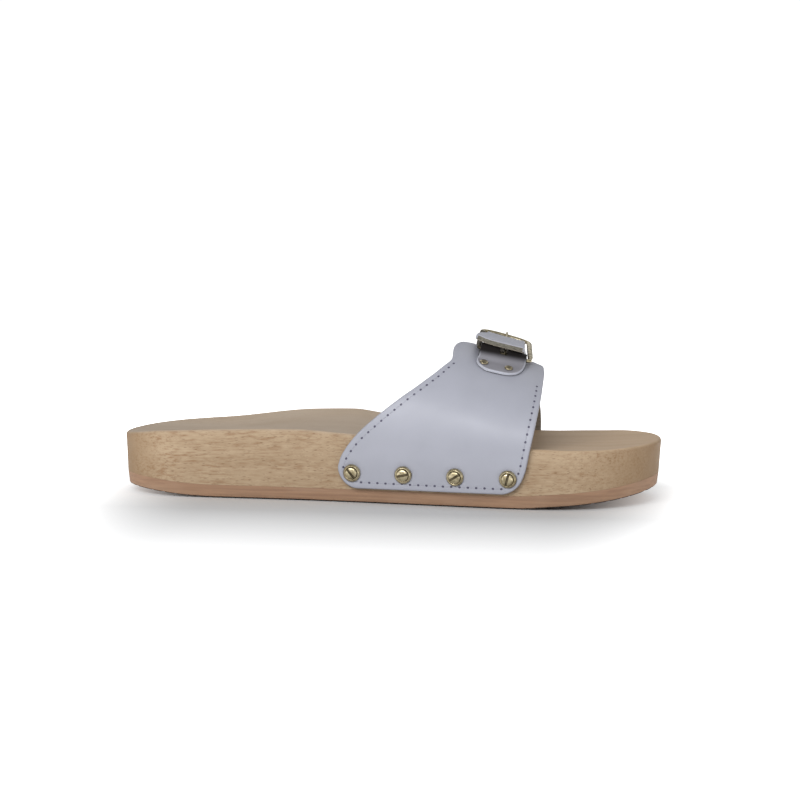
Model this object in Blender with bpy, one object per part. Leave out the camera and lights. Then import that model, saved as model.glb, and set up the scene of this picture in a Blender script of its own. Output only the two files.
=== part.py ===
"""Right-foot slide sandal: wooden footbed, rubber outsole and a leather band closed by a buckled strap.

Sizes are millimetres from the heel's end, the ground and the shoe's middle line; meshes are made in metres.
Plus X is the toe, plus Y the inner side of the foot, plus Z up.
"""
import math

import bmesh
import bpy
import numpy as np
from mathutils import Vector

METRE = 0.001
LENGTH = 250.0
GAP = 0.3

# Sole board and rubber sheet
SHEET = 5.7
BOARD_BOTTOM = SHEET + GAP
BOARD_TAPER = 0.9
SHEET_TAPER = 1.6
SHEET_EDGE = 0.5
RIM_EASE = 1.5
HEEL_ROUND = 36.0
HEEL_POWER = 2.2
TOE_ROUND_OUTER = 60.0
TOE_ROUND_INNER = 48.0
TOE_POWER = 2.3
DISH_POWER = 2.6
TOE_RIDGE_AT = 203.0
TOE_RIDGE_REACH = 17.0
TOE_RIDGE_HEIGHT = 1.1
OUTLINE_STEPS = 40
TOP_RINGS = (1.0, 0.9, 0.74, 0.52, 0.28, 0.08)
SPINE_MARGIN = 30.0

SOLE_COLUMNS = ("from_heel", "outer_half", "inner_half", "axis", "spring", "outer_rim", "inner_rim", "dish")
SOLE_ROWS = (
    (0.0, 32.5, 32.0, 0.0, 3.4, 27.4, 27.4, 0.0),
    (10.0, 32.6, 32.1, 0.0, 2.7, 28.9, 28.6, 1.6),
    (21.0, 32.8, 32.3, 0.0, 1.7, 30.3, 29.6, 3.2),
    (34.0, 32.9, 32.4, 0.0, 0.5, 31.0, 30.6, 4.3),
    (46.0, 33.2, 32.5, 0.0, 0.0, 31.6, 31.6, 4.8),
    (85.0, 35.0, 32.4, 0.0, 0.0, 32.7, 35.9, 4.6),
    (103.0, 36.8, 32.7, 0.0, 0.0, 31.8, 36.3, 4.4),
    (118.0, 38.8, 33.7, 0.0, 0.0, 30.8, 34.3, 4.0),
    (140.0, 42.0, 36.5, 0.0, 0.0, 29.4, 31.0, 3.2),
    (165.0, 45.7, 40.3, 0.0, 0.0, 28.2, 28.3, 2.6),
    (186.0, 48.1, 43.1, 0.0, 0.0, 27.4, 26.7, 2.3),
    (199.0, 48.8, 44.1, 0.2, 0.8, 27.1, 26.5, 2.1),
    (211.0, 49.0, 44.5, 0.6, 1.6, 26.8, 26.8, 1.8),
    (223.0, 49.0, 44.5, 1.2, 2.8, 26.8, 27.3, 1.3),
    (236.0, 49.0, 44.5, 2.4, 4.7, 27.4, 28.1, 0.8),
    (250.0, 49.0, 44.5, 4.0, 7.4, 28.4, 28.4, 0.0),
)

# Leather band, laid on a section that climbs the board's side and then arches over the foot
LEATHER = 2.6
STRAP_LEATHER = 2.7
FOOT_HEIGHT = 7.0
CREST_SIDE = 4.0
FOOT_CORNER = 9.0
END_CORNER = 5.0
WALL_NOMINAL = 21.0
ARCH_NOMINAL = 57.0
CREST_COLUMNS = ("from_heel", "height")
CREST_ROWS = (
    (100.0, 81.8),
    (130.0, 74.5),
    (150.0, 69.6),
    (156.0, 68.75),
    (161.0, 68.05),
    (166.0, 66.05),
    (171.0, 64.5),
    (186.0, 60.8),
    (190.0, 59.4),
    (194.0, 57.7),
    (200.0, 55.0),
)

# Place along a section: -2 outer foot, -1 outer rim, 0 crest, 1 inner rim, 2 inner foot
OUTER_END = 0.5
TIP_END = -0.2155
OUTER_COLUMNS = ("place", "back", "front")
OUTER_ROWS = (
    (-2.0, 105.3, 188.2),
    (-1.66, 105.0, 189.1),
    (-1.46, 106.1, 190.3),
    (-1.23, 109.1, 191.2),
    (-1.1, 111.4, 191.7),
    (-1.0, 113.5, 192.1),
    (-0.96, 116.1, 192.5),
    (-0.87, 122.9, 193.4),
    (-0.735, 133.1, 194.4),
    (-0.615, 141.5, 195.1),
    (-0.455, 150.1, 195.5),
    (-0.333, 154.4, 195.5),
    (-0.204, 154.1, 195.4),
    (-0.1, 154.8, 194.9),
    (0.0, 156.4, 194.2),
    (0.5, 159.6, 189.0),
)
STRAP_COLUMNS = ("place", "back", "front", "lift")
STRAP_ROWS = (
    (2.0, 112.0, 190.2, 0.0),
    (1.66, 112.0, 190.8, 0.0),
    (1.46, 112.3, 191.5, 0.0),
    (1.23, 115.0, 192.1, 0.0),
    (0.96, 122.4, 192.6, 0.0),
    (0.87, 128.2, 192.5, 0.0),
    (0.735, 137.8, 191.8, 0.1),
    (0.615, 147.0, 190.6, 0.4),
    (0.5, 156.0, 188.4, 1.3),
    (0.43, 160.6, 186.6, 2.4),
    (0.33, 164.2, 184.6, 5.0),
    (0.24, 164.7, 183.5, 7.0),
    (0.134, 164.7, 183.4, 7.8),
    (0.033, 164.7, 183.4, 7.8),
    (-0.05, 164.5, 183.5, 7.9),
    (-0.112, 163.5, 183.9, 8.3),
    (-0.163, 162.3, 184.3, 8.6),
    (-0.2155, 161.8, 184.5, 8.8),
)
TIP_CORNER = 1.5

# Buckle, hung in a leather tab on the outer panel
BUCKLE_STATION = 176.6
HINGE_PLACE = -0.1865
HINGE_LIFT = 5.25
FRAME_TILT = math.radians(10.87)
HINGE_SKEW = 0.09
HINGE_SLOPE = -0.2675
WIRE = 0.85
FRAME_WIDE = 1.3
FRAME_WIDE_FROM = 2.5
FRAME_WIDE_TO = 7.0
FRAME_HALF = 12.2
FRAME_FAR_HALF = 11.3
FRAME_REACH = 33.0
FRAME_STRAIGHT = 28.6
FRAME_CORNER = 1.6
FRAME_ROUND_POWER = 2.6
PRONG_WIRE = 0.55
PRONG_EYE = WIRE + GAP + PRONG_WIRE
PRONG_OVERRUN = 0.9
PRONG_START = -10.0
PRONG_LEAVE = -315.0
PRONG_DIP = -0.6
PRONG_DIP_FROM = 4.8
PRONG_DIP_TO = 20.0
TAB_LEATHER = 1.2
TAB_LIFT = LEATHER + GAP
TAB_BACK = 164.4
TAB_FRONT = 185.4
TAB_LOW_END = -0.406
TAB_CORNER = 7.5
LOOP_INNER = WIRE + GAP
LOOP_OUTER = 2.2
LOOP_HALF = 10.4
SLOT_HALF = 1.7
SLOT_NEAR = 4.2
SLOT_FAR = 5.0
HOLE_HALF = 1.7
HOLE_NEAR = 20.0
HOLE_FAR = 28.6
HOLE_LOW = -4.4
HOLE_HIGH = 9.0

# Brass fixings: radius and height of each turned profile
SCREW_HEIGHT = 14.1
SCREW_OUTER_FIRST = 111.8
SCREW_INNER_FIRST = 116.4
SCREW_PITCH = 23.6
SCREW_OUTER_SLOTS = (-50.0, 12.0, 32.0, 75.0)
SCREW_INNER_SLOTS = (20.0, -35.0, 64.0, 5.0)
SCREW_SLOT_HALF = 0.55
SCREW_SLOT_DEPTH = 0.95
WASHER_PROFILE = ((4.0, 0.0), (4.0, 0.35), (3.3, 1.25), (2.95, 1.3), (2.2, 0.4), (2.2, 0.0))
SCREW_PROFILE = ((0.0, 0.15), (1.85, 0.15), (2.62, 1.3), (2.75, 1.65), (2.2, 2.05), (1.2, 2.35), (0.0, 2.45))
RIVET_PROFILE = ((0.0, 0.0), (1.95, 0.0), (1.85, 0.4), (1.2, 0.85), (0.0, 1.0))
RIVET_GAP = 0.4
RIVET_PLACE = -0.35
RIVET_STATIONS = (168.3, 179.8)
TURNED_SIDES = 16

FINISHES = {
    "beech": ((0.46, 0.32, 0.20), 0.55, 0.0),
    "rubber": ((0.31, 0.19, 0.12), 0.8, 0.0),
    "leather": ((0.48, 0.49, 0.55), 0.5, 0.0),
    "brass": ((0.72, 0.53, 0.22), 0.3, 1.0),
}


def smooth_curve(stations, values, where):
    """Values along a curve through the table's rows, without overshoot."""
    stations = np.asarray(stations, float)
    values = np.asarray(values, float)
    where = np.clip(np.asarray(where, float), stations[0], stations[-1])
    steps = np.diff(stations)
    slopes = np.diff(values) / steps
    tangents = np.zeros(len(values))
    tangents[0] = slopes[0]
    tangents[-1] = slopes[-1]
    for row in range(1, len(slopes)):
        before = slopes[row - 1]
        after = slopes[row]
        if before * after > 0.0:
            tangents[row] = 2.0 * before * after / (before + after)
    row = np.clip(np.searchsorted(stations, where, side="right") - 1, 0, len(steps) - 1)
    step = steps[row]
    part = (where - stations[row]) / step
    square = part * part
    cube = square * part
    start = (2.0 * cube - 3.0 * square + 1.0) * values[row]
    leave = (cube - 2.0 * square + part) * step * tangents[row]
    end = (3.0 * square - 2.0 * cube) * values[row + 1]
    arrive = (cube - square) * step * tangents[row + 1]
    return start + leave + end + arrive


def column(rows, columns, name, where):
    """One named column of a table, read at a place in its first column."""
    index = columns.index(name)
    ordered = sorted(rows)
    first = [row[0] for row in ordered]
    return smooth_curve(first, [row[index] for row in ordered], where)


def sole(name, station):
    """One named column of the sole's table."""
    return column(SOLE_ROWS, SOLE_COLUMNS, name, station)


def rounding(station, toe_round):
    """Share of the width left where the outline turns round the heel and the toe."""
    heel = np.clip((HEEL_ROUND - station) / HEEL_ROUND, 0.0, 1.0)
    toe = np.clip((station - LENGTH + toe_round) / toe_round, 0.0, 1.0)
    at_heel = (1.0 - heel**HEEL_POWER) ** (1.0 / HEEL_POWER)
    at_toe = (1.0 - toe**TOE_POWER) ** (1.0 / TOE_POWER)
    return at_heel * at_toe


def outer_side(station):
    """Side coordinate of the upper rim on the outer side."""
    return sole("axis", station) - sole("outer_half", station) * rounding(station, TOE_ROUND_OUTER)


def inner_side(station):
    """Side coordinate of the upper rim on the inner side."""
    return sole("axis", station) + sole("inner_half", station) * rounding(station, TOE_ROUND_INNER)


def outline(inset):
    """Closed outline, up the outer side to the toe and back down the inner side, drawn in by an inset."""
    turn = np.linspace(0.0, math.pi, OUTLINE_STEPS + 1)
    stations = LENGTH * (1.0 - np.cos(turn)) / 2.0
    outer = np.column_stack([stations, outer_side(stations)])
    inner = np.column_stack([stations, inner_side(stations)])[-2:0:-1]
    loop = np.vstack([outer, inner])
    along = np.roll(loop, -1, axis=0) - np.roll(loop, 1, axis=0)
    along /= np.linalg.norm(along, axis=1)[:, None]
    inward = np.column_stack([-along[:, 1], along[:, 0]])
    return loop + inward * inset


def rim_height():
    """Height of the upper rim at every point of the outline."""
    loop = outline(0.0)
    outer = sole("outer_rim", loop[:, 0])
    inner = sole("inner_rim", loop[:, 0])
    on_outer = np.arange(len(loop)) <= OUTLINE_STEPS
    return np.where(on_outer, outer, inner)


def top_height(points):
    """Height of the dished upper face at plan points."""
    station = np.clip(points[:, 0], 0.0, LENGTH)
    low = outer_side(station)
    width = np.maximum(inner_side(station) - low, 1.0)
    across = np.clip((points[:, 1] - low) / width, 0.0, 1.0)
    rims = sole("outer_rim", station) * (1.0 - across) + sole("inner_rim", station) * across
    hollow = 1.0 - np.abs(2.0 * across - 1.0) ** DISH_POWER
    ridge = np.exp(-(((station - TOE_RIDGE_AT) / TOE_RIDGE_REACH) ** 2)) * TOE_RIDGE_HEIGHT
    return rims - hollow * (sole("dish", station) - ridge)


def heights(points, height):
    """Plan points with a height each."""
    return np.column_stack([points, np.broadcast_to(height, len(points))])


def ring_faces(count, lower, upper):
    """Quads between two rings of a loop."""
    faces = []
    for index in range(count):
        after = (index + 1) % count
        faces.append((lower + index, lower + after, upper + after, upper + index))
    return faces


def strip_faces(start):
    """Quads that close an outline loop from its outer side across to its inner side."""
    count = 2 * OUTLINE_STEPS
    faces = []
    for step in range(OUTLINE_STEPS):
        opposite = (count - step) % count
        corners = [start + step, start + step + 1, start + count - step - 1, start + opposite]
        faces.append(tuple(dict.fromkeys(corners)))
    return faces


def stacked_solid(rings):
    """Vertices and faces of a solid made of outline rings, closed by strips at both ends."""
    count = len(rings[0])
    faces = strip_faces(0)
    for level in range(len(rings) - 1):
        faces += ring_faces(count, level * count, (level + 1) * count)
    faces += strip_faces((len(rings) - 1) * count)
    return np.vstack(rings), faces


def footbed_solid():
    """Board with tapering sides, an eased rim and a dished top."""
    rim = rim_height()
    low = outline(BOARD_TAPER)
    rings = [heights(low, sole("spring", low[:, 0]) + BOARD_BOTTOM), heights(outline(0.0), rim - RIM_EASE)]
    half_turn = RIM_EASE * (1.0 - math.sqrt(0.5))
    rings.append(heights(outline(half_turn), rim - half_turn))
    edge = outline(RIM_EASE)
    reach = (edge[:, 0] - RIM_EASE) / (LENGTH - 2.0 * RIM_EASE)
    spine_station = SPINE_MARGIN + reach * (LENGTH - 2.0 * SPINE_MARGIN)
    spine_side = (outer_side(spine_station) + inner_side(spine_station)) / 2.0
    spine = np.column_stack([spine_station, spine_side])
    for share in TOP_RINGS:
        points = spine + (edge - spine) * share
        rings.append(heights(points, top_height(points)))
    return stacked_solid(rings)


def outsole_solid():
    """Rubber sheet under the board, with its lower edge turned in."""
    low = outline(SHEET_TAPER + SHEET_EDGE)
    side = outline(SHEET_TAPER)
    high = outline(BOARD_TAPER)
    rings = [heights(low, sole("spring", low[:, 0]))]
    rings.append(heights(side, sole("spring", side[:, 0]) + SHEET_EDGE))
    rings.append(heights(high, sole("spring", high[:, 0]) + SHEET))
    return stacked_solid(rings)


def crest(station):
    """Height of the band's inner face along its crest."""
    return column(CREST_ROWS, CREST_COLUMNS, "height", station)


def base_points(station, place):
    """Points of the band's inner face at stations and places along the section."""
    station = np.asarray(station, float)
    place = np.asarray(place, float)
    outer = place < 0.0
    rim = np.where(outer, sole("outer_rim", station), sole("inner_rim", station))
    edge = np.where(outer, outer_side(station) - GAP, inner_side(station) + GAP)
    from_foot = np.clip(2.0 - np.abs(place), 0.0, 1.0)
    wall_height = FOOT_HEIGHT + (rim - FOOT_HEIGHT) * from_foot
    taper = BOARD_TAPER * (rim - RIM_EASE - wall_height) / (rim - RIM_EASE - BOARD_BOTTOM)
    taper = np.clip(taper, 0.0, BOARD_TAPER)
    wall_side = edge + np.where(outer, taper, -taper)
    turn = np.clip(1.0 - np.abs(place), 0.0, 1.0) * math.pi / 2.0
    arch_side = CREST_SIDE + (edge - CREST_SIDE) * np.cos(turn)
    arch_height = rim + (crest(station) - rim) * np.sin(turn)
    on_wall = np.abs(place) > 1.0
    side = np.where(on_wall, wall_side, arch_side)
    height = np.where(on_wall, wall_height, arch_height)
    return np.stack([station, side, height], axis=-1)


def base_normals(station, place):
    """Outward directions of the band at stations and places."""
    small = 0.004
    length = 0.5
    along = base_points(station, np.asarray(place) + small) - base_points(station, np.asarray(place) - small)
    fore = base_points(np.asarray(station) + length, place) - base_points(np.asarray(station) - length, place)
    normal = np.cross(fore, along)
    return normal / np.linalg.norm(normal, axis=-1, keepdims=True)


def corner_cut(distance, radius):
    """How far a rounded corner draws the side edge in, at a distance from the end."""
    inside = np.clip(radius - distance, 0.0, radius)
    return radius - math.sqrt(radius * radius - inside * inside)


def places_between(start, end, start_reach, end_reach, rows):
    """Places along a section, closer together within the rounded corners at both ends."""
    corner = 1.0 - np.cos(np.linspace(0.0, math.pi / 2.0, 5))
    way = 1.0 if end > start else -1.0
    first = start + way * corner * start_reach
    last = end - way * corner[::-1] * end_reach
    middle = np.linspace(first[-1], last[0], rows)
    return np.concatenate([first[:-1], middle, last[1:]])


def sheet_solid(places, back, front, lift, thickness, columns):
    """Closed sheet of even thickness on the band's section, between a back and a front edge."""
    share = np.linspace(0.0, 1.0, columns + 1)
    inner = []
    outer = []
    for place, rear, fore, raised in zip(places, back, front, lift):
        stations = rear + (fore - rear) * share
        spots = np.full_like(stations, place)
        base = base_points(stations, spots)
        normal = base_normals(stations, spots)
        inner.append(base + normal * raised)
        outer.append(base + normal * (raised + thickness))
    wide = columns + 1
    rows = len(places)
    vertices = np.vstack(inner + outer)
    shift = rows * wide
    faces = []
    for row in range(rows - 1):
        for step in range(columns):
            here = row * wide + step
            quad = (here, here + 1, here + wide + 1, here + wide)
            faces.append(quad)
            faces.append(tuple(corner + shift for corner in reversed(quad)))
    border = [step for step in range(wide)]
    border += [row * wide + columns for row in range(1, rows)]
    border += [(rows - 1) * wide + step for step in range(columns - 1, -1, -1)]
    border += [row * wide for row in range(rows - 2, 0, -1)]
    for here, after in zip(border, border[1:] + border[:1]):
        faces.append((after, here, here + shift, after + shift))
    return vertices, faces


def outer_panel_solid():
    """Outer panel, from its wide foot over the crest to its end under the inner panel."""
    foot_reach = FOOT_CORNER / WALL_NOMINAL
    end_reach = END_CORNER / ARCH_NOMINAL
    places = places_between(-2.0, OUTER_END, foot_reach, end_reach, 19)
    back = column(OUTER_ROWS, OUTER_COLUMNS, "back", places)
    front = column(OUTER_ROWS, OUTER_COLUMNS, "front", places)
    for row, place in enumerate(places):
        cut = corner_cut((place + 2.0) * WALL_NOMINAL, FOOT_CORNER)
        cut += corner_cut((OUTER_END - place) * ARCH_NOMINAL, END_CORNER)
        back[row] += cut
        front[row] -= cut
    return sheet_solid(places, back, front, np.zeros(len(places)), LEATHER, 12)


def strap_panel_solid():
    """Inner panel, which narrows to the strap and ends in the free tip above the tab."""
    foot_reach = FOOT_CORNER / WALL_NOMINAL
    tip_reach = TIP_CORNER / ARCH_NOMINAL
    places = places_between(2.0, TIP_END, foot_reach, tip_reach, 26)
    back = column(STRAP_ROWS, STRAP_COLUMNS, "back", places)
    front = column(STRAP_ROWS, STRAP_COLUMNS, "front", places)
    lift = column(STRAP_ROWS, STRAP_COLUMNS, "lift", places)
    for row, place in enumerate(places):
        cut = corner_cut((2.0 - place) * WALL_NOMINAL, FOOT_CORNER)
        cut += corner_cut((place - TIP_END) * ARCH_NOMINAL, TIP_CORNER)
        back[row] += cut
        front[row] -= cut
    return sheet_solid(places, back, front, lift, STRAP_LEATHER, 8)


def tab_strip_solid():
    """Flat part of the tab, with its rounded lower end."""
    reach = TAB_CORNER / ARCH_NOMINAL
    places = places_between(TAB_LOW_END, HINGE_PLACE, reach, 0.02, 6)
    back = np.full(len(places), TAB_BACK)
    front = np.full(len(places), TAB_FRONT)
    for row, place in enumerate(places):
        cut = corner_cut((place - TAB_LOW_END) * ARCH_NOMINAL, TAB_CORNER)
        back[row] += cut
        front[row] -= cut
    return sheet_solid(places, back, front, np.full(len(places), TAB_LIFT), TAB_LEATHER, 6)


def buckle_axes():
    """Hinge centre and the buckle's own axes: along the hinge, toward its far bar, and out of its plane."""
    base = base_points([BUCKLE_STATION], [HINGE_PLACE])[0]
    centre = base + base_normals([BUCKLE_STATION], [HINGE_PLACE])[0] * HINGE_LIFT
    hinge = np.array([1.0, HINGE_SKEW, HINGE_SLOPE])
    hinge /= np.linalg.norm(hinge)
    reach = np.array([0.0, math.cos(FRAME_TILT), math.sin(FRAME_TILT)])
    reach -= hinge * (reach @ hinge)
    reach /= np.linalg.norm(reach)
    return centre, hinge, reach, np.cross(hinge, reach)


def in_buckle(points):
    """Points of the buckle's own axes placed in the shoe."""
    centre, hinge, reach, out = buckle_axes()
    points = np.asarray(points, float)
    return centre + points[:, :1] * hinge + points[:, 1:2] * reach + points[:, 2:] * out


def tube_solid(path, normal, radius, sides, closed, wide=None):
    """Wire swept along a flat path: round, or with a half width of its own in the path's plane at each point."""
    path = np.asarray(path, float)
    count = len(path)
    if closed:
        along = np.roll(path, -1, axis=0) - np.roll(path, 1, axis=0)
    else:
        along = np.gradient(path, axis=0)
    along /= np.linalg.norm(along, axis=1)[:, None]
    across = np.cross(along, normal)
    turn = np.arange(sides) * 2.0 * math.pi / sides
    vertices = []
    for row, (point, side) in enumerate(zip(path, across)):
        half = radius if wide is None else wide[row]
        vertices.append(point + half * np.cos(turn)[:, None] * side + radius * np.sin(turn)[:, None] * normal)
    faces = []
    for row in range(count if closed else count - 1):
        faces += ring_faces(sides, row * sides, ((row + 1) % count) * sides)
    if not closed:
        faces.append(tuple(range(sides)))
        faces.append(tuple(range((count - 1) * sides, count * sides)))
    return np.vstack(vertices), faces


def frame_solid():
    """Buckle frame: straight hinge bar, side bars that draw together and a rounded far end."""
    path = []
    for turn in np.linspace(math.pi / 2.0, 0.0, 5):
        side = FRAME_HALF - FRAME_CORNER + FRAME_CORNER * math.cos(turn)
        path.append((side, FRAME_CORNER * (1.0 - math.sin(turn))))
    path.append((FRAME_HALF, FRAME_WIDE_FROM))
    path.append((FRAME_HALF, FRAME_WIDE_TO))
    for turn in np.linspace(0.0, math.pi / 2.0, 11):
        side = FRAME_FAR_HALF * math.cos(turn) ** (2.0 / FRAME_ROUND_POWER)
        reach = (FRAME_REACH - FRAME_STRAIGHT) * math.sin(turn) ** (2.0 / FRAME_ROUND_POWER)
        path.append((side, FRAME_STRAIGHT + reach))
    mirrored = [(-side, reach) for side, reach in reversed(path[:-1])]
    flat = np.array([(side, reach, 0.0) for side, reach in path + mirrored])
    wide = np.interp(flat[:, 1], (FRAME_WIDE_FROM, FRAME_WIDE_TO), (WIRE, FRAME_WIDE))
    return tube_solid(in_buckle(flat), buckle_axes()[3], WIRE, 8, True, wide)


def prong_solid():
    """Prong: an eye round the hinge bar and a tongue that dips under the strap and rests on the far bar."""
    rest = WIRE + GAP + PRONG_WIRE
    path = []
    for turn in np.radians(np.linspace(PRONG_START, PRONG_LEAVE, 13)):
        path.append((0.0, PRONG_EYE * math.cos(turn), PRONG_EYE * math.sin(turn)))
    path.append((0.0, PRONG_DIP_FROM, PRONG_DIP))
    path.append((0.0, PRONG_DIP_TO, PRONG_DIP))
    path.append((0.0, FRAME_REACH - 1.0, rest))
    path.append((0.0, FRAME_REACH + PRONG_OVERRUN, rest - 0.2))
    return tube_solid(in_buckle(path), buckle_axes()[1], PRONG_WIRE, 8, False)


def loop_solid():
    """Fold of the tab round the hinge bar."""
    turn = np.arange(20) * 2.0 * math.pi / 20
    rings = []
    for radius, end in ((LOOP_OUTER, -1), (LOOP_OUTER, 1), (LOOP_INNER, 1), (LOOP_INNER, -1)):
        flat = np.column_stack([np.full(20, end * LOOP_HALF), radius * np.cos(turn), radius * np.sin(turn)])
        rings.append(in_buckle(flat))
    faces = []
    for level in range(4):
        faces += ring_faces(20, level * 20, ((level + 1) % 4) * 20)
    return np.vstack(rings), faces


def block_solid(half, near, far, low, high):
    """Straight block in the buckle's own axes, used to cut slots."""
    corners = [(side, reach, out) for out in (low, high) for reach in (near, far) for side in (-half, half)]
    faces = [(0, 1, 3, 2), (4, 6, 7, 5), (0, 4, 5, 1), (2, 3, 7, 6), (0, 2, 6, 4), (1, 5, 7, 3)]
    return in_buckle(corners), faces


def turned_solid(profile, centre, axis, ring):
    """Profile turned about an axis: a ring closes on itself, a solid ends on the axis."""
    axis = Vector(axis).normalized()
    side = np.array(axis.cross(Vector((0.0, 0.0, 1.0)))) if abs(axis.z) < 0.9 else np.array((1.0, 0.0, 0.0))
    side = side / np.linalg.norm(side)
    axis = np.array(axis)
    other = np.cross(axis, side)
    turn = np.arange(TURNED_SIDES) * 2.0 * math.pi / TURNED_SIDES
    around = np.cos(turn)[:, None] * side + np.sin(turn)[:, None] * other
    levels = profile if ring else profile[1:-1]
    vertices = [centre + radius * around + height * axis for radius, height in levels]
    faces = []
    for level in range(len(levels) if ring else len(levels) - 1):
        faces += ring_faces(TURNED_SIDES, level * TURNED_SIDES, ((level + 1) % len(levels)) * TURNED_SIDES)
    if not ring:
        faces.append(tuple(range(TURNED_SIDES)))
        top = len(levels) * TURNED_SIDES
        vertices.append(np.array([centre + profile[-1][1] * axis]))
        last = top - TURNED_SIDES
        for index in range(TURNED_SIDES):
            faces.append((last + index, last + (index + 1) % TURNED_SIDES, top))
    return np.vstack(vertices), faces


def on_panel(station, place, lift):
    """Point and outward direction on the band, raised by a lift."""
    normal = base_normals([station], [place])[0]
    return base_points([station], [place])[0] + normal * lift, normal


def screw_place(station, outer):
    """Place along the section where the screws go in."""
    rim = float(sole("outer_rim" if outer else "inner_rim", station))
    share = (SCREW_HEIGHT - FOOT_HEIGHT) / (rim - FOOT_HEIGHT)
    return -2.0 + share if outer else 2.0 - share


def slot_block(centre, axis, degrees):
    """Block that cuts the slot in a screw's head."""
    axis = axis / np.linalg.norm(axis)
    level = np.cross((0.0, 0.0, 1.0), axis)
    level /= np.linalg.norm(level)
    upright = np.cross(axis, level)
    turn = math.radians(degrees)
    along = level * math.cos(turn) + upright * math.sin(turn)
    across = np.cross(axis, along)
    high = SCREW_PROFILE[-1][1]
    corners = []
    for height in (high - SCREW_SLOT_DEPTH, high + 1.0):
        for reach in (-4.0, 4.0):
            for half in (-SCREW_SLOT_HALF, SCREW_SLOT_HALF):
                corners.append(centre + axis * height + along * reach + across * half)
    faces = [(0, 1, 3, 2), (4, 6, 7, 5), (0, 4, 5, 1), (2, 3, 7, 6), (0, 2, 6, 4), (1, 5, 7, 3)]
    return np.array(corners), faces


def make_material(name, finish):
    """Principled material of a finish."""
    colour, roughness, metallic = FINISHES[finish]
    material = bpy.data.materials.new(name)
    material.use_nodes = True
    shader = material.node_tree.nodes["Principled BSDF"]
    shader.inputs["Base Color"].default_value = (*colour, 1.0)
    shader.inputs["Roughness"].default_value = roughness
    shader.inputs["Metallic"].default_value = metallic
    return material


def make_object(name, solid, finish):
    """Named object from a solid's vertices and faces."""
    vertices, faces = solid
    mesh = bpy.data.meshes.new(name)
    mesh.from_pydata([tuple(point * METRE) for point in vertices], [], faces)
    shape = bmesh.new()
    shape.from_mesh(mesh)
    bmesh.ops.recalc_face_normals(shape, faces=shape.faces)
    shape.to_mesh(mesh)
    shape.free()
    for face in mesh.polygons:
        face.use_smooth = True
    mesh.materials.append(make_material(name + "_finish", finish))
    made = bpy.data.objects.new(name, mesh)
    bpy.context.scene.collection.objects.link(made)
    return made


def make_cutter(name, solid):
    """Hidden helper shape for a Boolean."""
    cutter = make_object(name, solid, "leather")
    cutter.hide_render = True
    cutter.display_type = "WIRE"
    return cutter


def combine(target, helper, operation):
    """Boolean of a helper shape with a target."""
    modifier = target.modifiers.new(helper.name, "BOOLEAN")
    modifier.operation = operation
    modifier.solver = "EXACT"
    modifier.object = helper


def add_fixings(side, first, slots, outer):
    """Row of screws with their cup washers on one side of the board."""
    for number, degrees in enumerate(slots):
        station = first + number * SCREW_PITCH
        place = screw_place(station, outer)
        centre, axis = on_panel(station, place, (LEATHER if outer else STRAP_LEATHER) + GAP)
        make_object(f"washer_{side}_{number + 1}", turned_solid(WASHER_PROFILE, centre, axis, True), "brass")
        head = turned_solid(SCREW_PROFILE, centre, axis, False)
        screw = make_object(f"screw_{side}_{number + 1}", head, "brass")
        slot = make_cutter(f"slot_{side}_{number + 1}", slot_block(centre, axis, degrees))
        combine(screw, slot, "DIFFERENCE")


def add_buckle():
    """Tab, frame, prong and the tab's rivets."""
    tab = make_object("buckle_tab", tab_strip_solid(), "leather")
    combine(tab, make_cutter("tab_loop", loop_solid()), "UNION")
    slot = block_solid(SLOT_HALF, -SLOT_NEAR, SLOT_FAR, -SLOT_NEAR, SLOT_NEAR)
    combine(tab, make_cutter("tab_slot", slot), "DIFFERENCE")
    make_object("buckle_frame", frame_solid(), "brass")
    make_object("buckle_prong", prong_solid(), "brass")
    for name, station in zip(("tab_rivet_rear", "tab_rivet_front"), RIVET_STATIONS):
        centre, axis = on_panel(station, RIVET_PLACE, TAB_LIFT + TAB_LEATHER + RIVET_GAP)
        make_object(name, turned_solid(RIVET_PROFILE, centre, axis, False), "brass")


def add_upper():
    """Outer and inner panels as one hollow solid, with the prong's hole in the strap."""
    upper = make_object("upper", outer_panel_solid(), "leather")
    combine(upper, make_cutter("inner_panel", strap_panel_solid()), "UNION")
    hole = block_solid(HOLE_HALF, HOLE_NEAR, HOLE_FAR, HOLE_LOW, HOLE_HIGH)
    combine(upper, make_cutter("prong_hole", hole), "DIFFERENCE")


def centre_shoe():
    """Move every mesh so that the origin is under the middle of the whole shoe."""
    bpy.context.view_layer.update()
    shown = [thing for thing in bpy.data.objects if not thing.hide_render]
    corners = np.array([vertex.co for thing in shown for vertex in thing.data.vertices])
    low = corners.min(axis=0)
    high = corners.max(axis=0)
    shift = -np.array([(low[0] + high[0]) / 2.0, (low[1] + high[1]) / 2.0, low[2]])
    for thing in bpy.data.objects:
        for vertex in thing.data.vertices:
            vertex.co += Vector(shift)


def build():
    """Clear the scene and make every piece of the shoe."""
    for thing in list(bpy.data.objects):
        bpy.data.objects.remove(thing)
    make_object("footbed", footbed_solid(), "beech")
    make_object("outsole", outsole_solid(), "rubber")
    add_upper()
    add_buckle()
    add_fixings("outer", SCREW_OUTER_FIRST, SCREW_OUTER_SLOTS, True)
    add_fixings("inner", SCREW_INNER_FIRST, SCREW_INNER_SLOTS, False)
    centre_shoe()


build()
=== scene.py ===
"""Looks of a right-foot slide sandal: wooden footbed, rubber outsole and a buckled leather band.

Sizes are millimetres from the heel's end, the shoe's middle line and the ground, as on a maker's pattern.
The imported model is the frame: each piece is made where its solid stands, and rides on it.
"""

import logging
import math
from dataclasses import dataclass, field
from enum import Enum
from functools import cached_property

import bmesh
import bpy
import numpy as np
from mathutils import Matrix, Vector


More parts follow.
